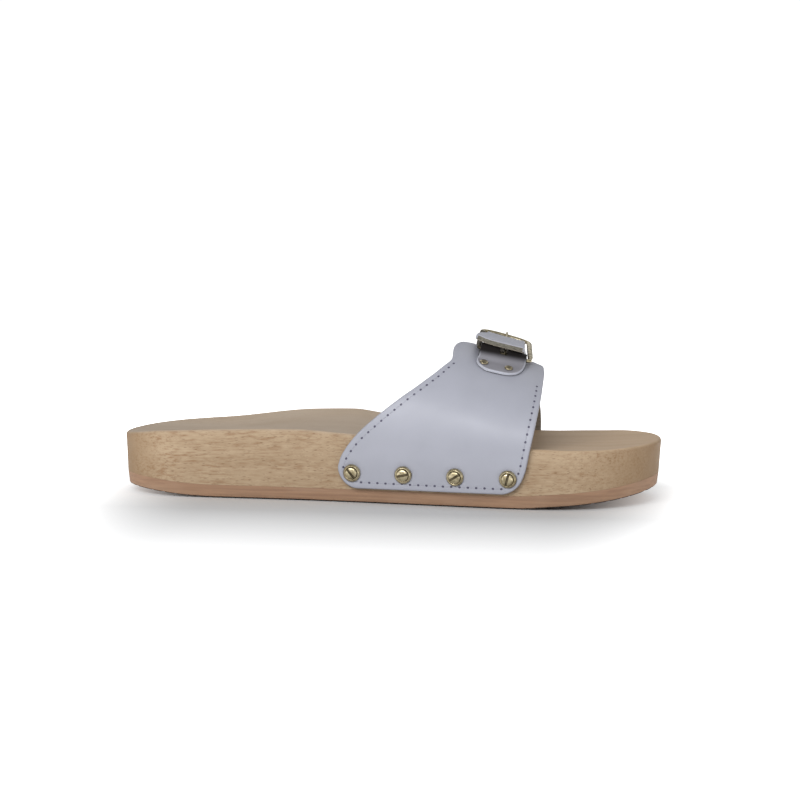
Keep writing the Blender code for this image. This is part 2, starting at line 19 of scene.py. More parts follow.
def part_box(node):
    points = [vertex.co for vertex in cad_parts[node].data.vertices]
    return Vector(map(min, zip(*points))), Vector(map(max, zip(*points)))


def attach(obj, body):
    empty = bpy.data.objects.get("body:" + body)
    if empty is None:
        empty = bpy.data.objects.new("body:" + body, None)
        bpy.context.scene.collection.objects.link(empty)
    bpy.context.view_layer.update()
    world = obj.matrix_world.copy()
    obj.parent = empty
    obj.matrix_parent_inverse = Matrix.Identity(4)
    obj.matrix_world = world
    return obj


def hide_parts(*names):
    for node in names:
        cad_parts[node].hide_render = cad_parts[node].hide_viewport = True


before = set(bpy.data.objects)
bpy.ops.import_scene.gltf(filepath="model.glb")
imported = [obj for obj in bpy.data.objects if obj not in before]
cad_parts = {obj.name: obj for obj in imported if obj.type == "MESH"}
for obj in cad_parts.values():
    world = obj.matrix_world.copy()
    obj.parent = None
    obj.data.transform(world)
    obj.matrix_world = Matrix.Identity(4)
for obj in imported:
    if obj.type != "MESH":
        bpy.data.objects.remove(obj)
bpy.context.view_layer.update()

LOG = logging.getLogger("slide_sandal")
METRE = 0.001
BODY = "root"
SHARP_ANGLE = math.radians(38.0)
FAR_FROM_EDGE = 20.0
TINY = 1e-9

Colour = tuple[float, float, float]
Triple = tuple[float, float, float]
Pair = tuple[float, float]
Array = np.ndarray
Material = bpy.types.Material
Socket = bpy.types.NodeSocket
Table = tuple[tuple[float, ...], ...]

SOLE_COLUMNS = ("from_heel", "outer_half", "inner_half", "axis", "spring", "outer_rim", "inner_rim", "dish")
SOLE_ROWS: Table = (
    (0.0, 32.5, 32.0, 0.0, 3.4, 27.4, 27.4, 0.0),
    (10.0, 32.6, 32.1, 0.0, 2.7, 28.9, 28.6, 1.6),
    (21.0, 32.8, 32.3, 0.0, 1.7, 30.3, 29.6, 3.2),
    (34.0, 32.9, 32.4, 0.0, 0.5, 31.0, 30.6, 4.3),
    (46.0, 33.2, 32.5, 0.0, 0.0, 31.6, 31.6, 4.8),
    (85.0, 35.0, 32.4, 0.0, 0.0, 32.7, 35.9, 4.6),
    (103.0, 36.8, 32.7, 0.0, 0.0, 31.8, 36.3, 4.4),
    (118.0, 38.8, 33.7, 0.0, 0.0, 30.8, 34.3, 4.0),
    (140.0, 42.0, 36.5, 0.0, 0.0, 29.4, 31.0, 3.2),
    (165.0, 45.7, 40.3, 0.0, 0.0, 28.2, 28.3, 2.6),
    (186.0, 48.1, 43.1, 0.0, 0.0, 27.4, 26.7, 2.3),
    (199.0, 48.8, 44.1, 0.2, 0.8, 27.1, 26.5, 2.1),
    (211.0, 49.0, 44.5, 0.6, 1.6, 26.8, 26.8, 1.8),
    (223.0, 49.0, 44.5, 1.2, 2.8, 26.8, 27.3, 1.3),
    (236.0, 49.0, 44.5, 2.4, 4.7, 27.4, 28.1, 0.8),
    (250.0, 49.0, 44.5, 4.0, 7.4, 28.4, 28.4, 0.0),
)
PANEL_COLUMNS = ("place", "back", "front", "lift")
OUTER_ROWS: Table = (
    (-2.0, 105.3, 188.2, 0.0),
    (-1.66, 105.0, 189.1, 0.0),
    (-1.46, 106.1, 190.3, 0.0),
    (-1.23, 109.1, 191.2, 0.0),
    (-1.1, 111.4, 191.7, 0.0),
    (-1.0, 113.5, 192.1, 0.0),
    (-0.96, 116.1, 192.5, 0.0),
    (-0.87, 122.9, 193.4, 0.0),
    (-0.735, 133.1, 194.4, 0.0),
    (-0.615, 141.5, 195.1, 0.0),
    (-0.455, 150.1, 195.5, 0.0),
    (-0.333, 154.4, 195.5, 0.0),
    (-0.204, 154.1, 195.4, 0.0),
    (-0.1, 154.8, 194.9, 0.0),
    (0.0, 156.4, 194.2, 0.0),
    (0.5, 159.6, 189.0, 0.0),
)
STRAP_ROWS: Table = (
    (2.0, 112.0, 190.2, 0.0),
    (1.66, 112.0, 190.8, 0.0),
    (1.46, 112.3, 191.5, 0.0),
    (1.23, 115.0, 192.1, 0.0),
    (0.96, 122.4, 192.6, 0.0),
    (0.87, 128.2, 192.5, 0.0),
    (0.735, 137.8, 191.8, 0.1),
    (0.615, 147.0, 190.6, 0.4),
    (0.5, 156.0, 188.4, 1.3),
    (0.43, 160.6, 186.6, 2.4),
    (0.33, 164.2, 184.6, 5.0),
    (0.24, 164.7, 183.5, 7.0),
    (0.134, 164.7, 183.4, 7.8),
    (0.033, 164.7, 183.4, 7.8),
    (-0.05, 164.5, 183.5, 7.9),
    (-0.112, 163.5, 183.9, 8.3),
    (-0.163, 162.3, 184.3, 8.6),
    (-0.2155, 161.8, 184.5, 8.8),
)
CREST_COLUMNS = ("from_heel", "height")
CREST_ROWS: Table = (
    (100.0, 81.8),
    (130.0, 74.5),
    (150.0, 69.6),
    (156.0, 68.75),
    (161.0, 68.05),
    (166.0, 66.05),
    (171.0, 64.5),
    (186.0, 60.8),
    (190.0, 59.4),
    (194.0, 57.7),
    (200.0, 55.0),
)

# Soft creases pressed into the leather: station and place of one end and of the other, half width,
# and a height that is above nought for a ridge and below it for a trough
OUTER_CREASES: Table = (
    (122.0, -1.02, 188.0, -1.06, 5.5, -0.35),
    (140.0, -0.72, 184.0, -0.93, 7.5, 0.45),
    (152.0, -0.52, 190.0, -0.62, 6.0, -0.25),
    (111.4, -1.62, 119.0, -1.18, 3.0, -0.12),
    (135.0, -1.62, 139.0, -1.25, 3.4, -0.12),
    (158.6, -1.62, 158.0, -1.25, 3.4, -0.12),
    (182.2, -1.62, 178.0, -1.25, 3.4, -0.12),
    (162.0, 0.47, 187.0, 0.47, 4.5, -1.2),
)
STRAP_CREASES: Table = (
    (128.0, 1.02, 190.0, 1.06, 5.5, -0.35),
    (142.0, 0.74, 186.0, 0.92, 7.5, 0.4),
    (160.0, 0.5, 188.0, 0.52, 4.0, -0.2),
    (116.4, 1.62, 123.0, 1.2, 3.0, -0.12),
    (140.0, 1.62, 143.0, 1.25, 3.4, -0.12),
    (163.6, 1.62, 163.0, 1.25, 3.4, -0.12),
    (187.2, 1.62, 184.0, 1.25, 3.4, -0.12),
)

# Turned profiles of the brass fixings: radius and height
WASHER_PROFILE: Table = ((4.0, 0.0), (4.0, 0.35), (3.3, 1.25), (2.95, 1.3), (2.2, 0.4), (2.2, 0.0))
SCREW_PROFILE: Table = (
    (0.0, 0.15),
    (1.85, 0.15),
    (2.62, 1.3),
    (2.75, 1.65),
    (2.55, 2.05),
    (1.9, 2.28),
    (0.9, 2.36),
    (0.0, 2.38),
)
RIVET_PROFILE: Table = (
    (0.0, 0.0),
    (1.95, 0.0),
    (1.95, 0.35),
    (1.7, 0.62),
    (1.25, 0.5),
    (0.8, 0.75),
    (0.0, 0.9),
)

# Blunt nose of a wire's end: reach and radius, as shares of the wire's radius
WIRE_NOSE: Table = ((0.75, 0.45), (0.4, 0.8))


class Slot(Enum):
    """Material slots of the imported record."""

    BEECH = "beech"
    RUBBER = "rubber"
    LEATHER = "leather"
    BRASS = "brass"


class Side(Enum):
    """Sides of the foot, with the sign of a place along the band's section."""

    OUTER = -1
    INNER = 1


def smooth_curve(stations: Array, values: Array, where: Array) -> Array:
    """Read a curve through table rows, without overshoot.

    Args:
        stations: Rising places of the rows.
        values: Value of each row.
        where: Places to read at.

    Returns:
        The curve's values at those places.
    """
    where = np.clip(np.asarray(where, float), stations[0], stations[-1])
    steps = np.diff(stations)
    slopes = np.diff(values) / steps
    tangents = np.concatenate([slopes[:1], np.zeros(len(slopes) - 1), slopes[-1:]])
    for row in range(1, len(slopes)):
        before = slopes[row - 1]
        after = slopes[row]
        if before * after > 0.0:
            tangents[row] = 2.0 * before * after / (before + after)
    row = np.clip(np.searchsorted(stations, where, side="right") - 1, 0, len(steps) - 1)
    step = steps[row]
    part = (where - stations[row]) / step
    square = part * part
    cube = square * part
    from_row = (2.0 * cube - 3.0 * square + 1.0) * values[row]
    from_slope = (cube - 2.0 * square + part) * step * tangents[row]
    to_row = (3.0 * square - 2.0 * cube) * values[row + 1]
    to_slope = (cube - square) * step * tangents[row + 1]
    return (from_row + from_slope) + (to_row + to_slope)


def read_column(rows: Table, columns: tuple[str, ...], name: str, where: Array) -> Array:
    """Read one named column of a table at places in its first column.

    Args:
        rows: The table's rows, in either order.
        columns: Names of the columns.
        name: Column to read.
        where: Places in the first column.

    Returns:
        The column's values at those places.
    """
    table = np.array(sorted(rows))
    return smooth_curve(table[:, 0], table[:, columns.index(name)], where)


def corner_cut(distance: Array, radius: float) -> Array:
    """How far a rounding draws an edge in, at a distance from the end."""
    inside = np.clip(radius - distance, 0.0, radius)
    return radius - np.sqrt(radius * radius - inside * inside)


def soft_step(value: Array, low: float, high: float) -> Array:
    """Smooth rise from nought at a low value to one at a high value."""
    part = np.clip((value - low) / (high - low), 0.0, 1.0)
    return part * part * (3.0 - 2.0 * part)


def edge_distance(spots: Array, loop: Array, closed: bool = True) -> Array:
    """Distance from flat points to the nearest edge of a line.

    Args:
        spots: Flat points, in an array that ends in two coordinates.
        loop: Points of the line.
        closed: Whether the line returns to its start.

    Returns:
        A distance for each point.
    """
    start = loop if closed else loop[:-1]
    run = (np.roll(loop, -1, axis=0) if closed else loop[1:])[: len(start)] - start
    square = np.maximum((run * run).sum(axis=1), TINY)
    found = []
    for spot_row in spots.reshape(-1, spots.shape[-2], 2):
        away = spot_row[:, None, :] - start
        share = np.clip((away * run).sum(axis=2) / square, 0.0, 1.0)
        gap = away - share[..., None] * run
        found.append(np.sqrt((gap * gap).sum(axis=2).min(axis=1)))
    return np.array(found).reshape(spots.shape[:-1])


def eased(points: Array, rounds: int, closed: bool) -> Array:
    """Cut the corners of a line again and again until it is round.

    Args:
        points: Points of the line.
        rounds: How often the corners are cut.
        closed: Whether the line returns to its start.

    Returns:
        The rounded line, with its ends kept where it is open.
    """
    line = np.asarray(points, float)
    for _ in range(rounds):
        after = np.roll(line, -1, axis=0) if closed else line[1:]
        before = line if closed else line[:-1]
        pairs = np.stack([before * 0.75 + after * 0.25, before * 0.25 + after * 0.75], axis=1)
        cut = pairs.reshape(-1, line.shape[1])
        line = cut if closed else np.vstack([line[:1], cut[1:-1], line[-1:]])
    return line


def border_distance(stations: Array, arcs: Array) -> Array:
    """Distance of a sheet's lattice points from its border.

    Args:
        stations: Station of each lattice point.
        arcs: Length along the sheet of each row.

    Returns:
        A distance for each lattice point.
    """
    spots = np.stack(np.broadcast_arrays(stations, arcs[:, None]), axis=-1)
    loop = np.vstack([spots[:, 0], spots[-1, 1:], spots[-2::-1, -1], spots[0, -2:0:-1]])
    return edge_distance(spots, loop)


def travelled(line: Array) -> Array:
    """Length of a line up to each of its points."""
    return np.concatenate([[0.0], np.cumsum(np.linalg.norm(np.diff(line, axis=0), axis=1))])


def crowded(near: Array, length: float, count: int) -> Array:
    """Steps along a length, closer together at both ends.

    Args:
        near: Steps close to an end.
        length: Whole length.
        count: How many steps the middle stretch has.

    Returns:
        Rising distances from the first end.
    """
    middle = np.linspace(near[-1], length - near[-1], count)
    return np.concatenate([near, middle[1:-1], length - near[::-1]])


def softened(line: Array, first: int, last: int, rounds: int) -> Array:
    """Smooth some points of a line again and again.

    Args:
        line: Points of the line.
        first: Number of the first point that may move.
        last: Number of the next point that stays.
        rounds: How often the points are smoothed.

    Returns:
        The smoothed line.
    """
    smooth = line.copy()
    for _ in range(rounds):
        before = smooth[first - 1 : last - 1]
        after = smooth[first + 1 : last + 1]
        smooth[first:last] = (before + 2.0 * smooth[first:last] + after) / 4.0
    return smooth


def level_across(axis: Array) -> Array:
    """Level direction at right angles to an axis."""
    level = np.cross((0.0, 0.0, 1.0), axis)
    return level / np.linalg.norm(level)


def face_outward(mesh: bpy.types.Mesh) -> None:
    """Turn the faces of a closed mesh outward.

    Args:
        mesh: Mesh to turn.
    """
    shape = bmesh.new()
    shape.from_mesh(mesh)
    bmesh.ops.recalc_face_normals(shape, faces=shape.faces)
    shape.to_mesh(mesh)
    shape.free()


def add_object(name: str, data: bpy.types.ID) -> bpy.types.Object:
    """Add an object to the scene.

    Args:
        name: Name of the object.
        data: Its mesh, light or lens.

    Returns:
        The object.
    """
    made = bpy.data.objects.new(name, data)
    bpy.context.scene.collection.objects.link(made)
    return made


@dataclass(frozen=True)
class SoleForm:
    """Outline, rims and dish of the wooden board, and the edge of the rubber sheet under it."""

    length: float = 250.0
    gap: float = 0.3
    sheet: float = 5.7
    board_taper: float = 0.9
    sheet_taper: float = 1.6
    rim_ease: float = 1.5
    heel_round: float = 36.0
    heel_power: float = 2.2
    toe_round_outer: float = 60.0
    toe_round_inner: float = 48.0
    toe_power: float = 2.3
    dish_power: float = 2.6
    ridge_at: float = 203.0
    ridge_reach: float = 17.0
    ridge_height: float = 1.1
    spine_margin: float = 30.0
    source_steps: int = 40

    def at(self, name: str, station: Array) -> Array:
        """One named column of the sole's table."""
        return read_column(SOLE_ROWS, SOLE_COLUMNS, name, station)

    def rounding(self, station: Array, toe_round: float) -> Array:
        """Share of the width left where the outline turns round the heel and the toe.

        Args:
            station: Distances from the heel's end.
            toe_round: Length of the turn at the toe.

        Returns:
            A share for each station.
        """
        heel = np.clip((self.heel_round - station) / self.heel_round, 0.0, 1.0)
        toe = np.clip((station - self.length + toe_round) / toe_round, 0.0, 1.0)
        at_heel = (1.0 - heel**self.heel_power) ** (1.0 / self.heel_power)
        return at_heel * (1.0 - toe**self.toe_power) ** (1.0 / self.toe_power)

    def half_width(self, column: str, station: Array, toe_round: float) -> Array:
        """Width from the axis to the rim of one side, drawn in round the heel and the toe."""
        return self.at(column, station) * self.rounding(station, toe_round)

    def outer_side(self, station: Array) -> Array:
        """Side coordinate of the upper rim on the outer side."""
        return self.at("axis", station) - self.half_width("outer_half", station, self.toe_round_outer)

    def inner_side(self, station: Array) -> Array:
        """Side coordinate of the upper rim on the inner side."""
        return self.at("axis", station) + self.half_width("inner_half", station, self.toe_round_inner)

    def outline(self, inset: float, steps: int) -> Array:
        """Closed outline, up the outer side to the toe and back down the inner side.

        Args:
            inset: How far the outline is drawn in from the rim.
            steps: Steps along one side.

        Returns:
            Plan points.
        """
        turn = np.linspace(0.0, math.pi, steps + 1)
        stations = self.length * (1.0 - np.cos(turn)) / 2.0
        outer = np.column_stack([stations, self.outer_side(stations)])
        inner = np.column_stack([stations, self.inner_side(stations)])[-2:0:-1]
        loop = np.vstack([outer, inner])
        along = np.roll(loop, -1, axis=0) - np.roll(loop, 1, axis=0)
        along /= np.linalg.norm(along, axis=1)[:, None]
        return loop + np.column_stack([-along[:, 1], along[:, 0]]) * inset

    def rim_height(self, steps: int) -> Array:
        """Height of the upper rim at every point of the outline.

        Args:
            steps: Steps along one side.

        Returns:
            A height for each point.
        """
        station = self.outline(0.0, steps)[:, 0]
        on_outer = np.arange(2 * steps) <= steps
        return np.where(on_outer, self.at("outer_rim", station), self.at("inner_rim", station))

    def top_height(self, plan: Array) -> Array:
        """Height of the dished upper face.

        Args:
            plan: Plan points.

        Returns:
            A height for each point.
        """
        station = np.clip(plan[:, 0], 0.0, self.length)
        low = self.outer_side(station)
        width = np.maximum(self.inner_side(station) - low, 1.0)
        across = np.clip((plan[:, 1] - low) / width, 0.0, 1.0)
        rims = self.at("outer_rim", station) * (1.0 - across) + self.at("inner_rim", station) * across
        hollow = 1.0 - np.abs(2.0 * across - 1.0) ** self.dish_power
        ridge = np.exp(-(((station - self.ridge_at) / self.ridge_reach) ** 2)) * self.ridge_height
        return rims - hollow * (self.at("dish", station) - ridge)

    def raised(self, plan: Array, rise: Array | float) -> Array:
        """Points at a height above the sole's underside, which springs at the heel and the toe."""
        return np.column_stack([plan, self.at("spring", plan[:, 0]) + rise])

    def spine(self, edge: Array) -> Array:
        """Points on the middle line toward which an outline's points close in.

        Args:
            edge: Plan points of the outline.

        Returns:
            A plan point for each of them.
        """
        reach = (edge[:, 0] - edge[:, 0].min()) / np.ptp(edge[:, 0])
        station = self.spine_margin + reach * (self.length - 2.0 * self.spine_margin)
        return np.column_stack([station, (self.outer_side(station) + self.inner_side(station)) / 2.0])

    @cached_property
    def shift(self) -> Array:
        """Step from the maker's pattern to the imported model, read from the footbed's box.

        Returns:
            The step along each axis, in millimetres.
        """
        low = np.array(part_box("footbed")[0]) / METRE
        outline = self.outline(0.0, self.source_steps)
        return np.array([low[0] - outline[:, 0].min(), low[1] - outline[:, 1].min(), 0.0])


SOLE = SoleForm()


@dataclass(frozen=True)
class BandForm:
    """Inner face of the leather band: up the board's side and then in an arch over the foot.

    A place along its section runs from -2 at the outer foot by -1 at the outer rim, 0 at the crest and
    1 at the inner rim to 2 at the inner foot.
    """

    sole: SoleForm
    foot_height: float = 7.0
    board_bottom: float = 6.0
    crest_side: float = 4.0
    middle_station: float = 165.0
    station_step: float = 0.5
    place_step: float = 0.004
    measure_steps: int = 801

    def points(self, station: Array, place: Array) -> Array:
        """Points of the inner face.

        Args:
            station: Distances from the heel's end.
            place: Places along the section.

        Returns:
            Points, in an array that ends in three coordinates.
        """
        sole = self.sole
        station, place = np.broadcast_arrays(np.asarray(station, float), np.asarray(place, float))
        outer = place < 0.0
        rim = np.where(outer, sole.at("outer_rim", station), sole.at("inner_rim", station))
        edge = np.where(outer, sole.outer_side(station) - sole.gap, sole.inner_side(station) + sole.gap)
        wall_height = self.foot_height + (rim - self.foot_height) * np.clip(2.0 - np.abs(place), 0.0, 1.0)
        shoulder = rim - sole.rim_ease
        taper = sole.board_taper * (shoulder - wall_height) / (shoulder - self.board_bottom)
        taper = np.clip(taper, 0.0, sole.board_taper)
        turn = np.clip(1.0 - np.abs(place), 0.0, 1.0) * math.pi / 2.0
        crest = read_column(CREST_ROWS, CREST_COLUMNS, "height", station)
        on_wall = np.abs(place) > 1.0
        arch_side = self.crest_side + (edge - self.crest_side) * np.cos(turn)
        side = np.where(on_wall, edge + np.where(outer, taper, -taper), arch_side)
        height = np.where(on_wall, wall_height, rim + (crest - rim) * np.sin(turn))
        return np.stack([station, side, height], axis=-1)

    def normals(self, station: Array, place: Array) -> Array:
        """Outward directions of the band.

        Args:
            station: Distances from the heel's end.
            place: Places along the section.

        Returns:
            Unit directions.
        """
        station, place = np.broadcast_arrays(np.asarray(station, float), np.asarray(place, float))
        beside = self.place_step
        along = self.points(station, place + beside) - self.points(station, place - beside)
        beside = self.station_step
        fore = self.points(station + beside, place) - self.points(station - beside, place)
        normal = np.cross(fore, along)
        return normal / np.linalg.norm(normal, axis=-1, keepdims=True)

    @cached_property
    def measure(self) -> tuple[Array, Array]:
        """Places along the section and the leather's length up to each, at the middle station."""
        places = np.linspace(-2.0, 2.0, self.measure_steps)
        return places, travelled(self.points(np.full(self.measure_steps, self.middle_station), places))

    def arc_of(self, place: Array) -> Array:
        """Length of leather from the outer foot to a place."""
        return np.interp(place, *self.measure)

    def place_of(self, arc: Array) -> Array:
        """Place at a length of leather from the outer foot."""
        return np.interp(arc, *self.measure[::-1])

    def raised(self, station: Array, place: Array, lift: Array | float) -> Array:
        """Points above the inner face.

        Args:
            station: Distances from the heel's end.
            place: Places along the section.
            lift: Heights above the inner face, or one for all.

        Returns:
            Points, in an array that ends in three coordinates.
        """
        return self.points(station, place) + self.normals(station, place) * np.asarray(lift)[..., None]

    def spot(self, station: float, place: float, lift: float) -> tuple[Array, Array]:
        """Point above the band and the outward direction there.

        Args:
            station: Distance from the heel's end.
            place: Place along the section.
            lift: Height above the band's inner face.

        Returns:
            The point and the direction.
        """
        where = np.array([station]), np.array([place])
        return self.raised(*where, lift)[0], self.normals(*where)[0]


@dataclass(frozen=True)
class HingeAxes:
    """The buckle's own axes: along its hinge bar, toward its far bar and out of its plane."""

    band: BandForm
    station: float = 176.6
    place: float = -0.1865
    lift: float = 5.25
    tilt: float = math.radians(10.87)
    skew: float = 0.09
    slope: float = -0.2675

    @cached_property
    def centre(self) -> Array:
        """Middle of the hinge bar."""
        return self.band.spot(self.station, self.place, self.lift)[0]

    @cached_property
    def along(self) -> Array:
        """Direction of the hinge bar toward the toe."""
        bar = np.array([1.0, self.skew, self.slope])
        return bar / np.linalg.norm(bar)

    @cached_property
    def reach(self) -> Array:
        """Direction from the hinge bar to the far bar.

        Returns:
            A unit direction.
        """
        toward = np.array([0.0, math.cos(self.tilt), math.sin(self.tilt)])
        toward -= self.along * (toward @ self.along)
        return toward / np.linalg.norm(toward)

    @cached_property
    def out(self) -> Array:
        """Direction out of the buckle's plane."""
        return np.cross(self.along, self.reach)

    def placed(self, points: Array) -> Array:
        """Points of the buckle's own axes, placed in the shoe."""
        points = np.asarray(points, float)
        return self.centre + points @ np.stack([self.along, self.reach, self.out])


@dataclass
class Shell:
    """A piece's mesh in the making, in millimetres, with a finish number for each face."""

    mark: str = "border"
    points: list[Array] = field(default_factory=list)
    marks: list[Array] = field(default_factory=list)
    faces: list[tuple[int, ...]] = field(default_factory=list)
    finishes: list[int] = field(default_factory=list)
    # Painted shadow on each point, from nought to one, which the leather finish reads as its shade mark.
    shade: Array | None = None

    def add_points(self, points: Array, mark: Array | float = FAR_FROM_EDGE) -> int:
        """Add points, each with a mark that the finish reads.

        Args:
            points: New points.
            mark: One mark for all, or one for each.

        Returns:
            Number of the first new point.
        """
        first = sum(len(block) for block in self.points)
        flat = np.asarray(points, float).reshape(-1, 3)
        self.points.append(flat)
        self.marks.append(np.broadcast_to(np.asarray(mark, float).reshape(-1), len(flat)))
        return first

    def add_faces(self, faces: list[tuple[int, ...]], finish: int = 0) -> None:
        """Add faces that share a finish."""
        self.faces += faces
        self.finishes += [finish] * len(faces)

    def add_rings(self, first: int, rings: int, count: int, finish: int = 0, closed: bool = False) -> None:
        """Join rings of points by quads.

        Args:
            first: Number of the first ring's first point.
            rings: How many rings there are.
            count: Points in a ring.
            finish: Finish number of the quads.
            closed: Whether the last ring joins the first.
        """
        level = np.arange(rings if closed else rings - 1)[:, None]
        low = first + level * count
        high = first + (level + 1) % rings * count
        step = np.arange(count)
        after = (step + 1) % count
        quads = np.stack([low + step, low + after, high + after, high + step], axis=-1).reshape(-1, 4)
        self.add_faces([tuple(quad) for quad in quads.tolist()], finish)

    def add_cap(self, first: int, count: int) -> None:
        """Close a ring of points by one face."""
        self.add_faces([tuple(range(first, first + count))])

    def add_capped(self, rings: Array) -> None:
        """Add rings of points, joined by quads and closed at both ends.

        Args:
            rings: Points of the rings.
        """
        count = rings.shape[1]
        first = self.add_points(rings)
        self.add_rings(first, len(rings), count)
        self.add_cap(first, count)
        self.add_cap(first + (len(rings) - 1) * count, count)

    def add_strips(self, first: int, count: int) -> None:
        """Close an outline ring by strips from its outer side across to its inner side.

        Args:
            first: Number of the ring's first point.
            count: Points in the ring.
        """
        strips = []
        for step in range(count // 2):
            corners = (step, step + 1, count - step - 1, (count - step) % count)
            strips.append(tuple(dict.fromkeys(first + corner for corner in corners)))
        self.add_faces(strips)

    def add_tube(
        self,
        path: Array,
        upright: Array,
        radius: float,
        sides: int,
        closed: bool,
        wide: Array | None = None,
    ) -> None:
        """Sweep a round or flattened wire along a path.

        Args:
            path: Points of the path.
            upright: Direction that the path never takes, one or one for each point.
            radius: Radius of the wire.
            sides: Sides of the wire.
            closed: Whether the path returns to its start.
            wide: Half width in the path's plane at each point, where that isn't the radius.
        """
        if closed:
            along = np.roll(path, -1, axis=0) - np.roll(path, 1, axis=0)
        else:
            along = np.gradient(path, axis=0)
        along /= np.linalg.norm(along, axis=1)[:, None]
        across = np.cross(along, upright)
        across /= np.linalg.norm(across, axis=1)[:, None]
        other = np.cross(across, along)
        turn = np.arange(sides) * 2.0 * math.pi / sides
        if wide is not None:
            across = across * (wide / radius)[:, None]
        ring = np.cos(turn)[:, None] * across[:, None, :] + np.sin(turn)[:, None] * other[:, None, :]
        rings = path[:, None, :] + ring * radius
        if closed:
            self.add_rings(self.add_points(rings), len(rings), sides, closed=True)
            return
        reach, slim = (np.array(WIRE_NOSE) * radius).T[..., None]
        front = (path[0] - along[0] * reach)[:, None, :] + ring[0] * slim[..., None]
        rear = (path[-1] + along[-1] * reach)[:, None, :] + ring[-1] * slim[..., None]
        self.add_capped(np.concatenate([front, rings, rear[::-1]]))

    def add_turned(self, profile: Array, centre: Array, axis: Array, sides: int, ring: bool) -> None:
        """Turn a profile about an axis.

        Args:
            profile: Radius and height of each level.
            centre: Foot of the axis.
            axis: Direction of the axis.
            sides: Sides of the turned piece.
            ring: Whether the profile closes on itself, or ends on the axis.
        """
        level = level_across(axis)
        turn = np.arange(sides) * 2.0 * math.pi / sides
        around = np.cos(turn)[:, None] * level + np.sin(turn)[:, None] * np.cross(axis, level)
        levels = profile if ring else profile[1:-1]
        rings = centre + levels[:, :1, None] * around + levels[:, 1:, None] * axis
        first = self.add_points(rings)
        self.add_rings(first, len(rings), sides, closed=ring)
        if ring:
            return
        self.add_cap(first, sides)
        top = self.add_points(centre + profile[-1, 1] * axis)
        last = top - sides
        self.add_faces([(last + side, last + (side + 1) % sides, top) for side in range(sides)])

    def add_sheet(self, outer: Array, inner: Array, border: Array, keep: Array, end: int) -> None:
        """Add a sheet with a face on each side and a wall along its borders and holes.

        Args:
            outer: Lattice of the outer face.
            inner: Lattice of the inner face.
            border: Distance of each lattice point from the sheet's border.
            keep: Which cells of the lattice there are.
            end: Finish number of the wall at the last row.
        """
        rows, columns = border.shape
        first = self.add_points(outer, border.reshape(-1))
        under = self.add_points(inner, border.reshape(-1))
        shift = under - first
        number = first + np.arange(rows * columns).reshape(rows, columns)
        corners = np.stack([number[:-1, :-1], number[:-1, 1:], number[1:, 1:], number[1:, :-1]], axis=-1)
        quads = corners[keep]
        self.add_faces([tuple(quad) for quad in quads.tolist()], 0)
        self.add_faces([tuple(quad) for quad in (quads[:, ::-1] + shift).tolist()], 1)
        padded = np.pad(keep, 1)
        beside = (padded[:-2, 1:-1], padded[1:-1, 2:], padded[2:, 1:-1], padded[1:-1, :-2])
        for edge, neighbour in enumerate(beside):
            open_edge = keep & ~neighbour
            for row, step in zip(*np.nonzero(open_edge)):
                here = int(corners[row, step, edge])
                after = int(corners[row, step, (edge + 1) % 4])
                last = end if edge == 2 and row == rows - 2 else 0
                self.add_faces([(after, here, here + shift, after + shift)], last)

    def make(
        self, name: str, materials: list[Material], stands_for: tuple[str, ...] = ()
    ) -> bpy.types.Object:
        """Make the piece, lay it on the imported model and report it.

        Args:
            name: Name of the piece.
            materials: Finishes by their numbers.
            stands_for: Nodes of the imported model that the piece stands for.

        Returns:
            The piece.
        """
        mesh = bpy.data.meshes.new(name)
        points = (np.vstack(self.points) + SOLE.shift) * METRE
        mesh.from_pydata(points.tolist(), [], self.faces)
        marks = {self.mark: np.concatenate(self.marks)}
        # The shade mark carries painted shadow.
        if self.shade is not None:
            marks["shade"] = self.shade
        for mark, values in marks.items():
            mesh.attributes.new(mark, "FLOAT", "POINT").data.foreach_set("value", values)
        for material in materials:
            mesh.materials.append(material)
        mesh.polygons.foreach_set("material_index", self.finishes)
        face_outward(mesh)
        mesh.polygons.foreach_set("use_smooth", [True] * len(mesh.polygons))
        mesh.set_sharp_from_angle(angle=SHARP_ANGLE)
        made = add_object(name, mesh)
        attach(made, BODY)
        if stands_for:
            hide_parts(*stands_for)
        LOG.info("%s: %d faces", name, len(mesh.polygons))
        return made


